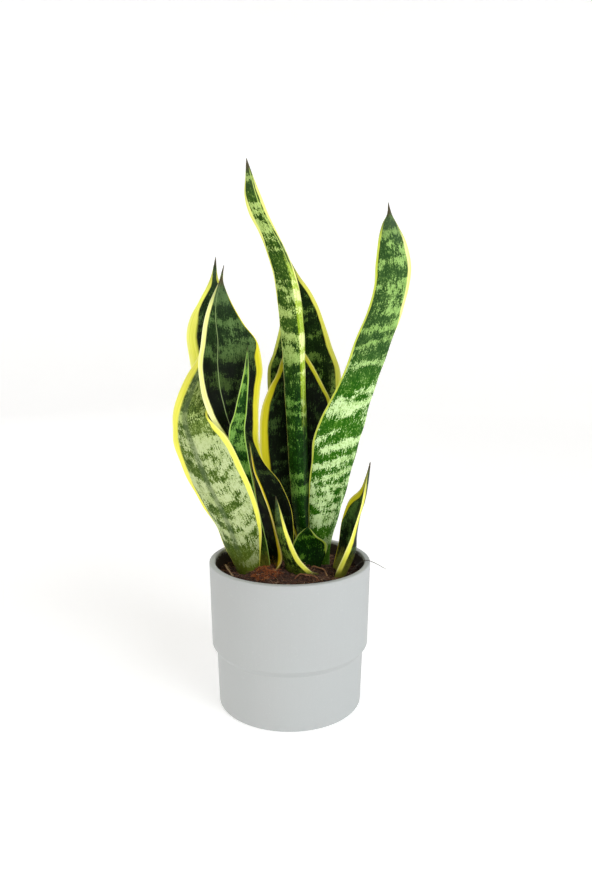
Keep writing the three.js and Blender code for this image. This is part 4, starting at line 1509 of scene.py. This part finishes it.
class SNAKE_OT_stage(bpy.types.Operator):
    """Set the pale floor and curved wall, the soft lights and the camera"""
    bl_idname = "snake_plant.stage"
    bl_label = "Stage"

    def execute(self, context):
        settings = context.scene.snake_stage
        outline = [(FLOOR_CENTRE, 0.0), (FLOOR_RADIUS, 0.0)]
        for k in range(1, STAGE_CORNER_STEPS + 1):
            angle = k / STAGE_CORNER_STEPS * math.pi / 2
            outline.append((FLOOR_RADIUS + CORNER_RADIUS * math.sin(angle),
                            CORNER_RADIUS * (1 - math.cos(angle))))
        outline.append((FLOOR_RADIUS + CORNER_RADIUS, WALL_HEIGHT))
        angles = np.arange(STAGE_SEGMENTS) * 2 * math.pi / STAGE_SEGMENTS
        points = [(r * math.cos(a), r * math.sin(a), z) for r, z in outline for a in angles]
        faces = [tuple(range(STAGE_SEGMENTS))]
        for ring in range(len(outline) - 1):
            for i in range(STAGE_SEGMENTS):
                j = (i + 1) % STAGE_SEGMENTS
                low, high = ring * STAGE_SEGMENTS, (ring + 1) * STAGE_SEGMENTS
                faces.append((low + j, low + i, high + i, high + j))
        mesh = bpy.data.meshes.new("stage_floor")
        mesh.from_pydata(points, [], faces)
        mesh.materials.append(stage_material(settings.wall_white))
        mesh.shade_smooth()
        floor = bpy.data.objects.new("stage_floor", mesh)
        context.scene.collection.objects.link(floor)

        low, high = CAD_BOX
        middle = (0, 0, (low[2] + high[2]) / 2)
        for name, (place, size, colour, power) in LAMPS.items():
            area_light(name, place, middle, size, getattr(settings, power), colour)
        world = bpy.data.worlds.new("studio_sky")
        world.use_nodes = True
        sky = world.node_tree.nodes["Background"]
        sky.inputs["Color"].default_value = SKY_COLOUR
        sky.inputs["Strength"].default_value = settings.sky
        context.scene.world = world
        context.scene.view_settings.view_transform = "Standard"

        camera = bpy.data.cameras.new("camera")
        camera.lens = settings.camera_lens
        camera.sensor_width = SENSOR_WIDTH
        camera.clip_start = 0.05
        stand = bpy.data.objects.new("camera", camera)
        context.scene.collection.objects.link(stand)
        stand.location = settings.camera_place
        stand.rotation_euler = (math.pi / 2 - settings.camera_pitch, 0, -settings.camera_turn)
        context.scene.camera = stand
        return {"FINISHED"}


# ------------------------------------------------------------------ add-on

STEPS = ("pot", "mix", "litter", "roots", "rootstock", "leaves", "stage")

SETTINGS = {
    "snake_pot": PotSettings,
    "snake_mix": MixSettings,
    "snake_leaves": LeafSettings,
    "snake_stage": StageSettings,
}


class SNAKE_PT_panel(bpy.types.Panel):
    """Sizes and colours of the plant, with a button for each of its parts"""
    bl_idname = "SNAKE_PT_panel"
    bl_label = "Snake plant"
    bl_space_type = "VIEW_3D"
    bl_region_type = "UI"
    bl_category = "Snake plant"

    def draw(self, context):
        for step in STEPS:
            self.layout.operator(f"snake_plant.{step}")
        for name, group in SETTINGS.items():
            box = self.layout.box()
            for label in group.__annotations__:
                box.prop(getattr(context.scene, name), label)


CLASSES = (
    PotSettings, MixSettings, LeafSettings, StageSettings, SNAKE_OT_pot, SNAKE_OT_mix,
    SNAKE_OT_litter, SNAKE_OT_roots, SNAKE_OT_rootstock, SNAKE_OT_leaves, SNAKE_OT_stage,
    SNAKE_PT_panel,
)


def register():
    for item in CLASSES:
        bpy.utils.register_class(item)
    for name, group in SETTINGS.items():
        setattr(bpy.types.Scene, name, bpy.props.PointerProperty(type=group))


def unregister():
    for name in SETTINGS:
        delattr(bpy.types.Scene, name)
    for item in reversed(CLASSES):
        bpy.utils.unregister_class(item)


def main():
    register()
    for step in STEPS:
        getattr(bpy.ops.snake_plant, step)()


if __name__ == "__main__":
    main()
